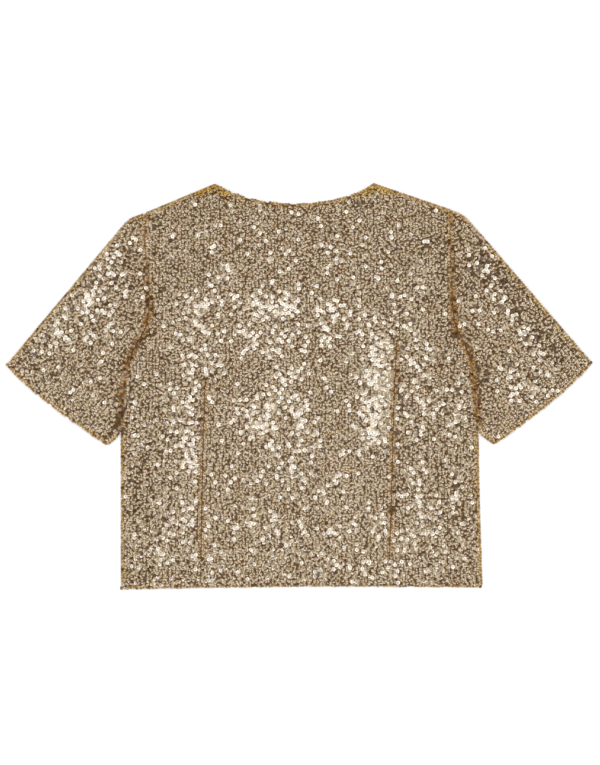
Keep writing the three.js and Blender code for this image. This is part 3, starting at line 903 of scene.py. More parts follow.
def sequin_tree():
    """Rows of sequins dropped on a cloth's outer face, parted along its edges and seams."""
    shapes = ("Cloth", "Edges", "Seams", "Golden edges", "Disc")
    sizes = ("Column pitch", "Row pitch", "Edge room", "Seam room", "Golden reach", "Lift", "Jitter")
    angles = ("Grain", "Lean", "Tilt", "Loose lean", "Loose tilt")
    tree, node, given = new_tree(
        "sequin rows",
        {
            "Object": shapes,
            "Int": ("Columns", "Rows", "Seed"),
            "Vector": ("Centre",),
            "Float": (*sizes, *angles, "Facing", "Half"),
            "Material": ("Material",),
        },
    )
    shape = {name: node("GeometryNodeObjectInfo", given[name], out="Geometry") for name in shapes}
    edge_row = node("mark", "edge row")

    # What differs by chance from one sequin to the next: lowest, highest, seed
    stray = node("multiply", given["Jitter"], -1.0)
    draws = (
        ("across", stray, given["Jitter"], 1),
        ("along", stray, given["Jitter"], 2),
        ("seam room", 0.75, 1.25, 3),
        ("tone", 0.0, 1.0, 4),
        ("spin", -2.4, 2.4, 9),
        ("size", 0.79, 0.9, 10),
        ("smooth", 0.0, 1.0, 11),
        ("shady", 0.0, 1.0, 12),
        ("sway", -0.6, 0.6, 13),
    )
    drawn = {
        name: node("random", low, high, node("add", given["Seed"], seed)) for name, low, high, seed in draws
    }

    # Rows: each starts at its own place along its column
    width = node("multiply", node("subtract", given["Columns"], 1.0), given["Column pitch"])
    length = node("multiply", node("subtract", given["Rows"], 1.0), given["Row pitch"])
    grid = node("GeometryNodeMeshGrid", width, length, given["Columns"], given["Rows"])
    index = node("GeometryNodeInputIndex")
    column = node("floor", node("divide", node("add", index, 0.5), given["Rows"]))
    set_back = node("multiply", node("random", 0.0, 1.0, given["Seed"], column), given["Row pitch"])
    shift = node("vector", drawn["across"], node("add", set_back, drawn["along"]), 0.0)
    shifted = node("GeometryNodeSetPosition", {"Geometry": grid, "Offset": shift})
    turn = node("vector", 0.0, 0.0, given["Grain"])
    rows = node(
        "GeometryNodeTransform", {"Geometry": shifted, "Translation": given["Centre"], "Rotation": turn}
    )
    geometry = node("GeometryNodeJoinGeometry", rows)
    tree.links.new(given["Geometry"], geometry.node.inputs[0])

    # Drop the rows straight on the face that they belong to
    way = node("vector", 0.0, 0.0, node("multiply", given["Facing"], -1.0))
    outward = node("vector", 0.0, 0.0, given["Facing"])
    start = node("add vectors", node("GeometryNodeInputPosition"), outward)
    hits = {
        name: node(
            "GeometryNodeRaycast",
            {
                "Target Geometry": shape["Cloth"],
                "Attribute": node("mark", name),
                "Source Position": start,
                "Ray Direction": way,
                "Ray Length": 2.0,
            },
        ).node.outputs
        for name in ("smooth", "shady")
    }
    hit = hits["smooth"]
    above = node("greater than", given["Facing"], 0.0)
    in_field = node("subtract", 1.0, edge_row)
    chance = node("multiply add", hit["Attribute"], SMOOTH_CHANCE, STRAY_CHANCE)
    flat = node("less than", drawn["smooth"], chance)
    on_top = node("multiply", node("multiply", above, in_field), flat)
    # Sequins drawn as dim get a painted dim colour, painted shade that stands in for facing away from the
    # light; they don't turn
    shady = node("multiply add", hits["shady"]["Attribute"], SHADY_CHANCE, STRAY_CHANCE)
    dim = node("less than", drawn["shady"], shady)

    # Leave out those too near an edge or a seam
    away = {
        name: node(
            "GeometryNodeProximity",
            {0: shape[name], "Source Position": hit["Hit Position"]},
            out="Distance",
            target_element="EDGES",
        )
        for name in ("Edges", "Seams", "Golden edges")
    }
    off_edge = node("greater than", away["Edges"], given["Edge room"])
    off_seam = node("greater than", away["Seams"], node("multiply", given["Seam room"], drawn["seam room"]))
    clear = node("maximum", node("multiply", off_edge, off_seam), edge_row)
    spot = node("ShaderNodeSeparateXYZ", hit["Hit Position"]).node.outputs
    # A half of 0 takes both sides
    in_half = node("greater than", node("multiply", spot["X"], given["Half"]), -1e-9)
    kept = node("multiply", node("multiply", clear, in_half), hit["Is Hit"])
    height = node("multiply", given["Lift"], node("multiply add", on_top, TOP_LIFT, 1.0))
    seat = node("add vectors", hit["Hit Position"], node("scale vector", hit["Hit Normal"], height))

    # The armholes are golden brown low down and hardly so above
    inward = node("map range", node("absolute", spot["X"]), *ARMHOLE_REACH, 1.0, 0.0)
    over_foot = node("map range", spot["Y"], *ARMHOLE_FOOT, 0.0, 1.0)
    under_head = node("map range", spot["Y"], *ARMHOLE_HEAD, 1.0, 0.0)
    armhole = node("multiply", inward, node("multiply", over_foot, under_head))
    low_down = node("multiply", armhole, node("map range", spot["Y"], *BROWN_ARMHOLE, 0.0, ARMHOLE_BROWN))
    hem = node("map range", spot["Y"], *HEM_REACH, 1.0, 0.0)
    plain = node("add", node("multiply", armhole, ARMHOLE_PLAIN), node("multiply", hem, HEM_PLAIN))
    band = (given["Golden reach"], node("multiply", given["Golden reach"], FULL_BAND), 0.0)
    brown_edges = node("map range", away["Edges"], *band, low_down)
    browned = node("maximum", brown_edges, node("map range", away["Seams"], *band, SEAM_BROWN))
    gilt_edges = node("map range", away["Edges"], *band, node("subtract", EDGE_GILT, plain))
    gilt_lines = node("maximum", gilt_edges, node("map range", away["Seams"], *band, SEAM_GILT))
    gilt = node("maximum", gilt_lines, node("map range", away["Golden edges"], *band, 1.0))

    # What the material and the last steps need is stored before the points move
    shares = {"tone": drawn["tone"], "gilt": gilt, "browned": browned}
    flags = {"dim": dim, "on top": on_top, "kept": kept}
    for name, value in (shares | flags).items():
        stored = {"Geometry": geometry, "Name": name, "Value": value}
        geometry = node("GeometryNodeStoreNamedAttribute", stored)
    seated = node("GeometryNodeSetPosition", {"Geometry": geometry, "Position": seat})

    # Each leans on the next one of its row, more so and less alike where the cloth isn't smooth
    calm = node("multiply add", edge_row, EDGE_ROW_CALM, 1.0)
    tilt = node("multiply", node("map range", on_top, 0.0, 1.0, given["Loose tilt"], given["Tilt"]), calm)
    lean = node("multiply", node("map range", on_top, 0.0, 1.0, given["Loose lean"], given["Lean"]), calm)
    back = node("multiply", tilt, -1.0)
    tilts = [node("random", back, tilt, node("add", given["Seed"], seed)) for seed in (5, 6, 7, 8)]
    leaning = node("add", lean, node("add", tilts[0], tilts[1]))
    straight = node("subtract", node("multiply", given["Facing"], 2.0), 1.0)
    eased = node("add vectors", hit["Hit Normal"], node("vector", 0.0, 0.0, straight))
    sway = node("vector", 0.0, 0.0, node("add", given["Grain"], drawn["sway"]))
    upright = node("FunctionNodeAlignRotationToVector", {"Rotation": sway, "Vector": eased}, axis="Z")
    tilted = node("turn", upright, node("vector", leaning, node("add", tilts[2], tilts[3]), 0.0))
    whole = node("multiply add", edge_row, EDGE_ROW_GROWTH, node("multiply", on_top, TOP_GROWTH))
    size = node("add", whole, drawn["size"])
    placed = node(
        "GeometryNodeInstanceOnPoints",
        {
            "Points": seated,
            "Selection": node("mark", "kept"),
            "Instance": shape["Disc"],
            "Rotation": node("turn", tilted, node("vector", 0.0, 0.0, drawn["spin"])),
            "Scale": node("vector", size, size, size),
        },
    )
    return end_tree(tree, node("GeometryNodeRealizeInstances", placed), given["Material"])


def wire(name, lines):
    """A mesh of edges only, through lines of frame places."""
    places = []
    edges = []
    for line in lines:
        first = len(places)
        places.extend(line)
        edges.extend((first + i, first + i + 1) for i in range(len(line) - 1))
    return new_mesh(name, places, [], edges)


def even_lines(lines):
    """Lines through corners as points at even steps."""
    return [resample(np.array(line, float), OUTLINE_STEP) for line in lines]


def face_height(points, cloth):
    """Height of a cloth's upper face at each place, found by a ray from above."""
    places = to_frame(points, np.full(len(points), 0.0))
    heights = []
    for x, y, _ in places:
        found, place, _normal, _face = cloth.ray_cast(Vector((x, y, 1.0)), Vector((0, 0, -1)))
        heights.append(place.z / MM if found else WALL)
    return np.array(heights)


def edge_rows(name, outline, finishes, seam_lines, settings):
    """Points for the sequins that follow an outline just within it, and both sides of each seam."""
    finishes = np.array(finishes)
    parted = settings.seam_depth * np.interp(outline[:, 1], NEARING_HEIGHTS, NEARING_SHARES)
    strays = np.random.default_rng(len(outline)).uniform(-FREE_EDGE_STRAY, FREE_EDGE_STRAY, len(outline))
    depths = np.where(finishes == "free", settings.free_depth + strays * MM, settings.edge_depth)
    rim = inset(outline, np.where(finishes == "seam", parted, depths) / MM)
    lines = [resample(np.vstack([rim, rim[:1]]), settings.edge_pitch / MM)[:-1]]
    for line in seam_lines:
        run = np.gradient(line, axis=0)
        run /= np.linalg.norm(run, axis=1, keepdims=True)
        across = np.stack([-run[:, 1], run[:, 0]], -1) * settings.seam_depth / MM
        lines.extend(resample(line + across * side, settings.edge_pitch / MM) for side in (-1, 1))
    places = np.vstack(lines)
    piece = new_mesh(name, to_frame(places, np.zeros(len(places))), [])
    flag = piece.data.attributes.new("edge row", "FLOAT", "POINT")
    flag.data.foreach_set("value", np.ones(len(places), np.float32))
    return piece


def cover_with_sequins(cloth_name, edges, seams, facing, grain, seed, settings, name, half=0):
    """One piece of sequins on one face of a cloth, or on its left (-1) or right (1) half."""
    cloth = bpy.data.objects[cloth_name]
    outer = facing > 0
    outline, finishes = outline_of(edges, OUTLINE_STEP)
    closed = np.vstack([outline, outline[:1]])
    level = GUIDE_HEIGHT if outer else SEQUIN_ROOM
    seam_lines = even_lines(seams)
    golden_lines = even_lines(GOLDEN_EDGES) if outer else []
    guides = {
        "Edges": [to_frame(closed, np.full(len(closed), level))],
        "Seams": [to_frame(line, face_height(line, cloth)) for line in seam_lines],
        "Golden edges": [to_frame(line, np.full(len(line), level)) for line in golden_lines],
    }
    helpers = {guide: wire(f"{guide} guide", lines or FAR_GUIDE) for guide, lines in guides.items()}
    helpers["Disc"] = sequin_disc(settings)

    low = closed.min(0)
    high = closed.max(0)
    centre = (low + high) / 2 - np.array([MIDDLE_X, MIDDLE_HEIGHT])
    reach = (high - low) * MM
    cos = abs(math.cos(grain))
    sin = abs(math.sin(grain))
    column_pitch = settings.column_pitch if outer else settings.hidden_pitch
    row_pitch = settings.row_pitch if outer else settings.hidden_pitch
    piece = edge_rows(name, outline, finishes, seam_lines, settings)
    grow(
        piece,
        bpy.data.node_groups.get("sequin rows") or sequin_tree(),
        helpers
        | {
            "Cloth": cloth,
            "Columns": int((reach[0] * cos + reach[1] * sin) / column_pitch) + SPARE_ROWS,
            "Rows": int((reach[0] * sin + reach[1] * cos) / row_pitch) + SPARE_ROWS,
            "Column pitch": column_pitch,
            "Row pitch": row_pitch,
            "Centre": (centre[0] * MM, centre[1] * MM, 0.0),
            "Grain": grain,
            "Facing": float(facing),
            "Half": float(half),
            "Edge room": settings.edge_room,
            "Seam room": settings.seam_room,
            "Golden reach": settings.golden_reach,
            "Lift": settings.lift,
            "Lean": -settings.lean,
            "Tilt": settings.tilt,
            "Loose lean": -settings.loose_lean if outer else -settings.lean * UNDERSIDE_LEAN,
            "Loose tilt": settings.loose_tilt if outer else settings.tilt * UNDERSIDE_TILT,
            "Jitter": settings.jitter,
            "Seed": seed,
            "Material": material_of("metallised polyester film"),
        },
    )
    for helper in helpers.values():
        mesh = helper.data
        bpy.data.objects.remove(helper)
        bpy.data.meshes.remove(mesh)
    return piece


# Stitching


# The bead that stands for one stitch, and how far each may turn, about its own axes
BEAD_SEGMENTS = 6
BEAD_RINGS = 4
STITCH_TURN = (0.1, 0.06, 0.22)


def stitch_tree():
    """Short stitches along lines that lie on the cloth."""
    tree, node, given = new_tree(
        "stitches",
        {"Float": ("Pitch", "Length", "Thickness"), "Int": ("Seed",), "Material": ("Material",)},
    )
    curve = node("GeometryNodeMeshToCurve", given["Geometry"])
    spaced = node("GeometryNodeCurveToPoints", {"Curve": curve, "Length": given["Pitch"]}, mode="LENGTH")
    bead = node("GeometryNodeMeshUVSphere", {"Segments": BEAD_SEGMENTS, "Rings": BEAD_RINGS, "Radius": 0.5})
    tangent = spaced.node.outputs["Tangent"]
    lengthwise = node("FunctionNodeAlignRotationToVector", {"Vector": tangent}, axis="X")
    stray = node(
        "FunctionNodeRandomValue",
        {0: tuple(-turn for turn in STITCH_TURN), 1: STITCH_TURN, 8: given["Seed"]},
        data_type="FLOAT_VECTOR",
    )
    placed = node(
        "GeometryNodeInstanceOnPoints",
        {
            "Points": spaced.node.outputs["Points"],
            "Instance": bead,
            "Rotation": node("turn", lengthwise, stray),
            "Scale": node("vector", given["Length"], given["Thickness"], given["Thickness"]),
        },
    )
    smooth = node("GeometryNodeSetShadeSmooth", node("GeometryNodeRealizeInstances", placed))
    return end_tree(tree, smooth, given["Material"])


def sew(name, lines, cloth_name, seed, settings):
    """One piece of stitching along lines on a cloth's upper face."""
    cloth = bpy.data.objects[cloth_name]
    lift = settings.lift / MM
    piece = wire(name, [to_frame(line, face_height(line, cloth) + lift) for line in even_lines(lines)])
    grow(
        piece,
        bpy.data.node_groups.get("stitches") or stitch_tree(),
        {
            "Pitch": settings.pitch,
            "Length": settings.length,
            "Thickness": settings.thickness,
            "Seed": seed,
            "Material": material_of("golden sewing thread"),
        },
    )


# Materials


# Champagne tones of the film: place on the ramp, colour
FILM_TONES = ((0.0, "#6C4E30"), (0.3, "#B18A62"), (0.55, "#AA9462"), (0.8, "#D4BA98"), (1.0, "#957B4C"))
# Painted shade and painted highlight on a disc, in shares of its radius: where each starts, where it is full,
# least and most of it
PAINTED_SHADE_SIDE = (0.52, 0.62, 0.0, 1.0)
PAINTED_HIGHLIGHT = (-0.3, -0.42, 0.0, 0.9)
PAINTED_RIM_SHADE = (0.82, 1.0, 0.0, 0.5)
# Radius of the sewing hole on most discs and on those on top, and its soft rim
HOLE = 0.2
TOP_HOLE = 0.12
HOLE_RIM = 0.11
# Shares that are mixed in or kept: the painted shade and the topmost film on top, the edging's tint, the
# painted dim tint
TOP_SHADE = 0.2
TOP_FILM = 0.6
EDGING_TINT = 0.28
DIM_TINT = 0.8
# What dulls the clear coat: edge rows, and the gloss that is left in the painted shade
EDGING_DULLNESS = 0.8
SHADE_GLOSS = 0.15

# Metres to one stripe of Blender's wave texture at a scale of 1
STRIPE = 0.314
# The net's real meshes, which are drawn twice as wide so that they show
NET_MESH = 1.2 * MM
NET_ENLARGED = 2
# Noise in waves to the metre: the net's patches of 17 mm, the thread's flecks of 1.1 mm, the floor's clouds
NET_PATCHES = 60.0
THREAD_FLECKS = 900.0
FLOOR_CLOUDS = 3.0


def metallised_film(node, colours):
    """Metallised polyester film under a clear coat, punched from a sheet.

    The eye gets mirror-like champagne discs whose glints are whiter than their own colour,
    because the clear film reflects white. Each disc has a small sewing hole, painted shade
    on the side under the next disc and round its rim, and a painted highlight on the side
    raised over the last. Sequins in shady places get a painted dim colour.
    """
    names = ("tone", "gilt", "browned", "dim", "on top", "edge row")
    tone, gilt, browned, dim, on_top, edging = [node("read mark", attribute_name=name) for name in names]
    place = node("read mark", attribute_name="place").node.outputs["Vector"]
    across = node("ShaderNodeSeparateXYZ", place, out="Y")
    distance = node("vector length", place)
    champagne = node("ShaderNodeValToRGB", tone)
    elements = champagne.node.color_ramp.elements
    for element, (position, colour) in zip(elements, (FILM_TONES[0], FILM_TONES[-1])):
        element.position = position
        element.color = srgb(colour)
    for position, colour in FILM_TONES[1:-1]:
        elements.new(position).color = srgb(colour)

    # Painted shade on the side of a disc that is tucked under the next and round its rim, and a painted
    # highlight on the side that is raised over the last
    painted_shade_side = node("map range", across, *PAINTED_SHADE_SIDE)
    painted_highlight = node("map range", across, *PAINTED_HIGHLIGHT)
    rim = node("map range", distance, *PAINTED_RIM_SHADE)
    painted_shade_share = node("map range", on_top, 0.0, 1.0, 1.0, TOP_SHADE)
    shade = node("multiply", node("maximum", painted_shade_side, rim), painted_shade_share)
    topmost = node("map range", on_top, 0.0, 1.0, 0.0, TOP_FILM)
    own = node("mix colours", topmost, champagne, colours.topmost)
    middle = node("mix colours", browned, node("mix colours", gilt, own, colours.gold), colours.brown)
    painted_highlight_colour = node("mix colours", gilt, colours.painted_highlight, colours.painted_highlight_gold)
    side = node("mix colours", browned, painted_highlight_colour, colours.painted_highlight_brown)
    lit = node("mix colours", painted_highlight, middle, side)
    tint = node("map range", edging, 0.0, 1.0, 0.0, EDGING_TINT)
    matt = node("mix colours", tint, lit, colours.edging)
    shaded = node("mix colours", shade, matt, colours.shade)
    painted_dim = node("mix colours", node("multiply", dim, DIM_TINT), shaded, colours.dim)
    hole = node("map range", on_top, 0.0, 1.0, HOLE, TOP_HOLE)
    film = node("map range", distance, hole, node("add", hole, HOLE_RIM), 0.0, 1.0)
    dull = node("maximum", dim, node("map range", edging, 0.0, 1.0, 0.0, EDGING_DULLNESS))
    open_film = node("map range", shade, 0.0, 1.0, 1.0, SHADE_GLOSS)
    glossy = node("multiply", open_film, node("subtract", 1.0, dull))
    return {
        "Base Color": node("mix colours", film, colours.hole, painted_dim),
        "Coat Weight": node("multiply", film, glossy),
        "Roughness": 0.15,
        "Specular IOR Level": 0.12,
        "Coat IOR": 1.6,
        "Coat Roughness": 0.12,
    }


def polyester_net(node, colours):
    """Polyester net, dyed golden brown and knitted in small meshes.

    The eye gets a matt, warm ground in the gaps between the sequins and along the seams.
    """
    place = node("object coordinates")
    wave = {"Scale": STRIPE / NET_MESH / NET_ENLARGED, "Distortion": 0.6, "Detail": 1.0}
    waves = []
    for angle in (45, -45):
        turn = (0, 0, math.radians(angle))
        turned = node("ShaderNodeMapping", {"Vector": place, "Rotation": turn})
        waves.append(node("ShaderNodeTexWave", {"Vector": turned} | wave, out="Fac"))
    yarn = node("maximum", *waves)
    shade = node("multiply", yarn, node("noise", place, NET_PATCHES, 3.0))
    return {
        "Base Color": node("mix colours", shade, colours.net_dark, colours.net_light),
        "Normal": node("ShaderNodeBump", {"Height": yarn, "Strength": 0.6, "Distance": 0.2 * MM}),
        "Roughness": 0.75,
        "Sheen Weight": 0.3,
    }


def sewing_thread(node, colours):
    """Spun polyester sewing thread in golden brown, with the soft gloss of twisted yarn."""
    fleck = node("noise", node("object coordinates"), THREAD_FLECKS, 2.0)
    return {
        "Base Color": node("mix colours", fleck, colours.thread_dark, colours.thread_light),
        "Roughness": 0.5,
    }


def white_acrylic(node, colours):
    """Matt white acrylic, lit a little from below, which the eye takes for a plain white ground."""
    cloud = node("noise", node("object coordinates"), FLOOR_CLOUDS, 2.0)
    return {
        "Base Color": node("mix colours", cloud, colours.floor_dark, colours.floor_light),
        "Roughness": 0.9,
        "Specular IOR Level": 0.2,
        "Emission Color": (1, 1, 1, 1),
        "Emission Strength": 0.15,
    }


MATERIALS = {
    "metallised polyester film": metallised_film,
    "golden polyester net": polyester_net,
    "golden sewing thread": sewing_thread,
    "matt white acrylic": white_acrylic,
}


def material_of(name):
    """A material by its name, made when it is first asked for."""
    if name not in bpy.data.materials:
        material = bpy.data.materials.new(name)
        material.use_nodes = True
        tree = material.node_tree
        tree.nodes.clear()
        looks = MATERIALS[name](partial(add_node, tree), bpy.context.scene.blouse_colours)
        output = tree.nodes.new("ShaderNodeOutputMaterial")
        tree.links.new(add_node(tree, "ShaderNodeBsdfPrincipled", looks), output.inputs[0])
    return bpy.data.materials[name]


# Settings


def a_length(name, description, default):
    """A length that a user may change, in metres."""
    return bpy.props.FloatProperty(name=name, description=description, default=default, unit="LENGTH")


def an_angle(name, description, degrees):
    """An angle that a user may change."""
    return bpy.props.FloatProperty(
        name=name, description=description, default=math.radians(degrees), unit="ROTATION"
    )


def a_colour(name, description, hex_colour):
    """A colour that a user may change."""
    return bpy.props.FloatVectorProperty(
        name=name, description=description, default=srgb(hex_colour), size=4, min=0, max=1, subtype="COLOR"
    )


class ClothSettings(bpy.types.PropertyGroup):
    """Sizes of the net that carries the sequins."""

    thickness: a_length("Thickness", "Thickness of the net", 0.7 * MM)
    fine_step: a_length("Fine step", "Distance between points where folds show", 4.0 * MM)
    coarse_step: a_length("Coarse step", "Distance between points where cloth is flat", 9.0 * MM)


class SequinSettings(bpy.types.PropertyGroup):
    """Sizes and places of the sequins."""

    diameter: a_length("Diameter", "Diameter of a sequin", 4.8 * MM)
    film: a_length("Film", "Thickness at the middle", 0.12 * MM)
    column_pitch: a_length("Column pitch", "Distance between rows", 4.0 * MM)
    row_pitch: a_length("Row pitch", "Distance along a row", 2.6 * MM)
    hidden_pitch: a_length("Hidden pitch", "Both distances on the undersides", 4.5 * MM)
    edge_room: a_length("Edge room", "Distance from an edge at which the rows start", 2.8 * MM)
    edge_depth: a_length("Edge depth", "Distance of the edge's own row from it", 1.7 * MM)
    free_depth: a_length("Free depth", "The same at the neck, hem and cuffs", 1.0 * MM)
    edge_pitch: a_length("Edge pitch", "Distance along the edge's own row", 3.9 * MM)
    seam_depth: a_length("Seam depth", "Distance of the rows beside a seam from it", 2.6 * MM)
    seam_room: a_length("Seam room", "Distance of the other sequins from a seam", 4.4 * MM)
    golden_reach: a_length("Golden reach", "Width of the golden bands", 6.5 * MM)
    lift: a_length("Lift", "Height of a sequin's middle over the net", 0.35 * MM)
    jitter: a_length("Jitter", "Random shift off the rows", 0.95 * MM)
    lean: an_angle("Lean", "Angle at which each sequin leans on the next", 6)
    tilt: an_angle("Tilt", "Half of the random tilt", 3)
    loose_lean: an_angle("Loose lean", "Lean where cloth isn't smooth", 22)
    loose_tilt: an_angle("Loose tilt", "Tilt where cloth isn't smooth", 5)


class StitchSettings(bpy.types.PropertyGroup):
    """Sizes of the stitches along seams and darts."""

    pitch: a_length("Pitch", "Distance between stitches", 3.6 * MM)
    length: a_length("Length", "Length of a stitch", 3.1 * MM)
    thickness: a_length("Thickness", "Thickness of the thread", 1.3 * MM)
    lift: a_length("Lift", "Height of the thread's middle over the net", 0.8 * MM)


class ColourSettings(bpy.types.PropertyGroup):
    """Colours of the film, the net, the thread and the floor."""

    topmost: a_colour("Topmost", "Film that lies on top in smooth places", "#A4967C")
    # Painted highlights: the raised, raised gold and raised brown colours paint light on the side of a sequin
    # that is raised over the last
    painted_highlight: a_colour("Raised", "The raised side of a sequin", "#E8D6B6")
    gold: a_colour("Gold", "Golden film along edges", "#C49A44")
    painted_highlight_gold: a_colour("Raised gold", "The raised side of a golden sequin", "#DDB868")
    brown: a_colour("Brown", "Golden brown film low on the armholes", "#916624")
    painted_highlight_brown: a_colour("Raised brown", "The raised side of a golden brown sequin", "#BE924C")
    edging: a_colour("Edging", "What dulls the rows along edges and seams", "#7E5218")
    # Painted shade: this colour darkens the side of a sequin under the next one and its rim
    shade: a_colour("Shade", "The side of a sequin under the next one", "#2C1602")
    # Painted shade: the dim colour stands in for a sequin that faces away from the light; the sequin itself
    # doesn't turn
    dim: a_colour("Dim", "A sequin that faces away from the light", "#40240A")
    hole: a_colour("Hole", "The sewing hole", "#24160A")
    net_dark: a_colour("Dark net", "The darker parts of the net", "#3C2406")
    net_light: a_colour("Light net", "The lighter parts of the net", "#704A14")
    thread_dark: a_colour("Dark thread", "The darker parts of the thread", "#5C380C")
    thread_light: a_colour("Light thread", "The lighter parts of the thread", "#A06C1E")
    floor_dark: a_colour("Dark floor", "The darker parts of the floor", "#FAFAF9")
    floor_light: a_colour("Light floor", "The lighter parts of the floor", "#FCFCFC")


class StageSettings(bpy.types.PropertyGroup):
    """The floor, the light and the camera."""

    camera_height: a_length("Camera height", "Height of the camera over the floor", 2.4)
    view_height: a_length("View height", "Length of the floor that the picture shows", 0.95625)
    view_x: a_length("View x", "Middle of the picture, across", 0.0011)
    view_y: a_length("View y", "Middle of the picture, along", 0.0048)
    sky: bpy.props.FloatProperty(name="Sky", description="Brightness of the white room", default=0.2, min=0.0)


# Operators


# Lights: name, place in metres, size in metres, brightness
LIGHTS = (
    ("key softbox", (0.0, 0.62, 2.9), (0.75, 1.15), 6.6),
    ("left panel", (-1.9, 0.0, 2.2), (0.9, 1.8), 2.3),
    ("right panel", (1.9, 0.0, 2.2), (0.9, 1.8), 2.3),
    ("front panel", (0.0, -2.0, 2.2), (1.8, 0.9), 3.6),
    ("back panel", (0.0, 2.2, 2.2), (1.8, 0.9), 2.0),
)
# Small square lights in the ceiling, which leave out the two where the key softbox hangs
CEILING_COUNT = 5
CEILING_PITCH = 0.5
CEILING_SHIFT = 1.2
CEILING_SIZE = (0.27, 0.27)
CEILING_HEIGHT = 2.95
CEILING_BRIGHTNESS = 2.3
SOFTBOX_SIDE = -0.3
# Watts of a lamp for each unit of brightness and square metre
LAMP_POWER = 4
FLOOR_HALF = 12.0
FLOOR_HEIGHT = -0.2 * MM
SENSOR_WIDTH = 36.0


def ceiling_lights():
    """Square lights over the floor, with dark ceiling between them for the sequins to mirror."""
    places = [(i - (CEILING_COUNT - 1) / 2) * CEILING_PITCH for i in range(CEILING_COUNT)]
    return [
        (f"ceiling {x:.1f} {y:.1f}", (x, y + CEILING_SHIFT, CEILING_HEIGHT), CEILING_SIZE, CEILING_BRIGHTNESS)
        for x in places
        for y in places
        if x or y > SOFTBOX_SIDE
    ]


class BLOUSE_OT_stage(bpy.types.Operator):
    """Makes the floor, the soft studio light and the camera"""

    bl_idname = "blouse.stage"
    bl_label = "Stage"

    def execute(self, context):
        settings = context.scene.blouse_stage
        corners = [(x * FLOOR_HALF, y * FLOOR_HALF, 0) for x, y in ((-1, -1), (1, -1), (1, 1), (-1, 1))]
        floor = new_mesh("floor", corners, [(0, 1, 2, 3)])
        floor.data.materials.append(material_of("matt white acrylic"))
        floor.location.z = FLOOR_HEIGHT

        world = bpy.data.worlds.new("white room")
        context.scene.world = world
        world.use_nodes = True
        sky = world.node_tree.nodes["Background"].inputs
        sky["Color"].default_value = (1, 1, 1, 1)
        sky["Strength"].default_value = settings.sky

        for name, place, size, brightness in [*LIGHTS, *ceiling_lights()]:
            lamp = bpy.data.lights.new(name, "AREA")
            lamp.shape = "RECTANGLE"
            lamp.size = size[0]
            lamp.size_y = size[1]
            lamp.energy = brightness * LAMP_POWER * size[0] * size[1]
            light = bpy.data.objects.new(name, lamp)
            light.location = place
            light.rotation_mode = "QUATERNION"
            if place[2] < CEILING_HEIGHT:
                light.rotation_quaternion = Vector(place).to_track_quat("Z", "Y")
            context.scene.collection.objects.link(light)

        view = bpy.data.cameras.new("camera")
        view.sensor_width = SENSOR_WIDTH
        view.lens = SENSOR_WIDTH * settings.camera_height / settings.view_height
        view.clip_end = 100.0
        camera = bpy.data.objects.new("camera", view)
        camera.location = (settings.view_x, settings.view_y, settings.camera_height)
        context.scene.collection.objects.link(camera)
        context.scene.camera = camera
        context.scene.view_settings.view_transform = "Standard"
        return {"FINISHED"}


class BLOUSE_OT_back(bpy.types.Operator):
    """Makes the cloth of the back panel"""

    bl_idname = "blouse.back"
    bl_label = "Back panel"

    def execute(self, context):
        edges = panel_edges(BACK_NECK_DEPTH)
        cloth = upper_layer("back_cloth", edges, back_gap, context.scene.blouse_cloth)
        settle(cloth, "back_panel")
        return {"FINISHED"}


class BLOUSE_OT_front(bpy.types.Operator):
    """Makes the cloth of the front panel, under the back"""

    bl_idname = "blouse.front"
    bl_label = "Front panel"

    def execute(self, context):
        edges = panel_edges(FRONT_NECK_DEPTH)
        settle(lower_layer("front_cloth", edges, context.scene.blouse_cloth), "front_panel")
        return {"FINISHED"}


class BLOUSE_OT_sleeves(bpy.types.Operator):
    """Makes the cloth of both sleeves, each a flattened tube"""

    bl_idname = "blouse.sleeves"
    bl_label = "Sleeves"

    def execute(self, context):
        for side in SIDES:
            cloth = sleeve_tube(f"sleeve_{side}_cloth", side, context.scene.blouse_cloth)
            settle(cloth, f"sleeve_{side}")
        return {"FINISHED"}


def sleeve_grain(side):
    """Angle of the rows on a sleeve, which run along its fold."""
    facts = SIDES[side]
    run = np.subtract(facts["fold_end"], facts["head"]) * np.array([facts["sign"], 1])
    return math.atan2(-run[0], run[1]) + math.pi


class BLOUSE_OT_sequins(bpy.types.Operator):
    """Covers every outer face with rows of sequins"""

    bl_idname = "blouse.sequins"
    bl_label = "Sequins"

    def execute(self, context):
        settings = context.scene.blouse_sequins
        back = panel_edges(BACK_NECK_DEPTH)
        front = panel_edges(FRONT_NECK_DEPTH)
        for half, name in BACK_HALVES.items():
            cover_with_sequins("back_cloth", back, DARTS, 1, 0.0, 11, settings, name, half)
        cover_with_sequins("front_cloth", front, [], -1, 0.0, 23, settings, "front_sequins")
        for seed, side in enumerate(SIDES, start=31):
            edges = sleeve_edges(side)
            cloth = f"sleeve_{side}_cloth"
            grain = sleeve_grain(side)
            upper = f"sleeve_{side}_sequins"
            lower = f"sleeve_{side}_sequins_below"
            cover_with_sequins(cloth, edges, [], 1, grain, seed, settings, upper)
            cover_with_sequins(cloth, edges, [], -1, grain, seed + 10, settings, lower)
        return {"FINISHED"}


# Distance of the armhole's stitches from its edge in millimetres
STITCH_INSET = 0.4


class BLOUSE_OT_stitching(bpy.types.Operator):
    """Sews the darts and the armhole seams"""

    bl_idname = "blouse.stitching"
    bl_label = "Stitching"

    def execute(self, context):
        settings = context.scene.blouse_stitches
        back = panel_edges(BACK_NECK_DEPTH)
        inner = [back["left armhole"] + (STITCH_INSET, 0), back["right armhole"] - (STITCH_INSET, 0)]
        sew("dart_stitches", DARTS, "back_cloth", 3, settings)
        sew("armhole_stitches", inner, "back_cloth", 5, settings)
        return {"FINISHED"}


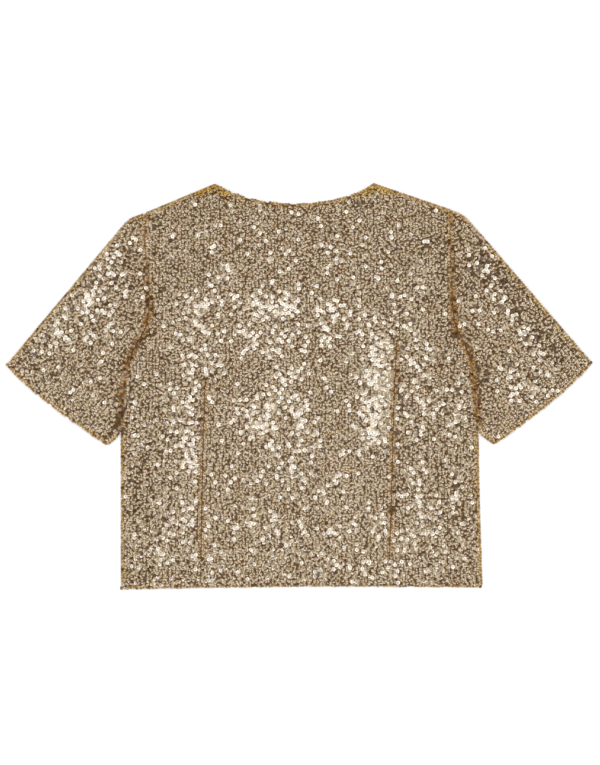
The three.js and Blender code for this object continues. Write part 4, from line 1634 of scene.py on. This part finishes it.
def state_cut(edges, layers):
    """Works out the flat area of a piece of cloth, which is not kept."""
    flat_area(edges, layers)


class BLOUSE_OT_sheets(bpy.types.Operator):
    """Works out the flat area of each piece of cloth"""

    bl_idname = "blouse.sheets"
    bl_label = "Sheets"

    def execute(self, context):
        back = panel_edges(BACK_NECK_DEPTH)
        front = panel_edges(FRONT_NECK_DEPTH)
        state_cut(back, 1)
        state_cut(front, 1)
        for side in SIDES:
            state_cut(sleeve_edges(side), 2)
        return {"FINISHED"}


class BLOUSE_PT_panel(bpy.types.Panel):
    """Lists the steps that make the blouse"""

    bl_label = "Blouse"
    bl_idname = "BLOUSE_PT_panel"
    bl_space_type = "VIEW_3D"
    bl_region_type = "UI"
    bl_category = "Blouse"

    def draw(self, context):
        for operator in OPERATORS:
            self.layout.operator(operator.bl_idname)
        for name in SETTINGS:
            group = getattr(context.scene, name)
            for field in group.bl_rna.properties.keys():
                if field not in ("rna_type", "name"):
                    self.layout.prop(group, field)


SETTINGS = {
    "blouse_cloth": ClothSettings,
    "blouse_sequins": SequinSettings,
    "blouse_stitches": StitchSettings,
    "blouse_colours": ColourSettings,
    "blouse_stage": StageSettings,
}
OPERATORS = (
    BLOUSE_OT_stage,
    BLOUSE_OT_back,
    BLOUSE_OT_front,
    BLOUSE_OT_sleeves,
    BLOUSE_OT_sequins,
    BLOUSE_OT_stitching,
    BLOUSE_OT_sheets,
)


def register():
    for name, group in SETTINGS.items():
        bpy.utils.register_class(group)
        setattr(bpy.types.Scene, name, bpy.props.PointerProperty(type=group))
    for operator in OPERATORS:
        bpy.utils.register_class(operator)
    bpy.utils.register_class(BLOUSE_PT_panel)


def unregister():
    bpy.utils.unregister_class(BLOUSE_PT_panel)
    for operator in reversed(OPERATORS):
        bpy.utils.unregister_class(operator)
    for name, group in SETTINGS.items():
        delattr(bpy.types.Scene, name)
        bpy.utils.unregister_class(group)


def main():
    register()
    for operator in OPERATORS:
        group, name = operator.bl_idname.split(".")
        getattr(getattr(bpy.ops, group), name)()


if __name__ == "__main__":
    main()
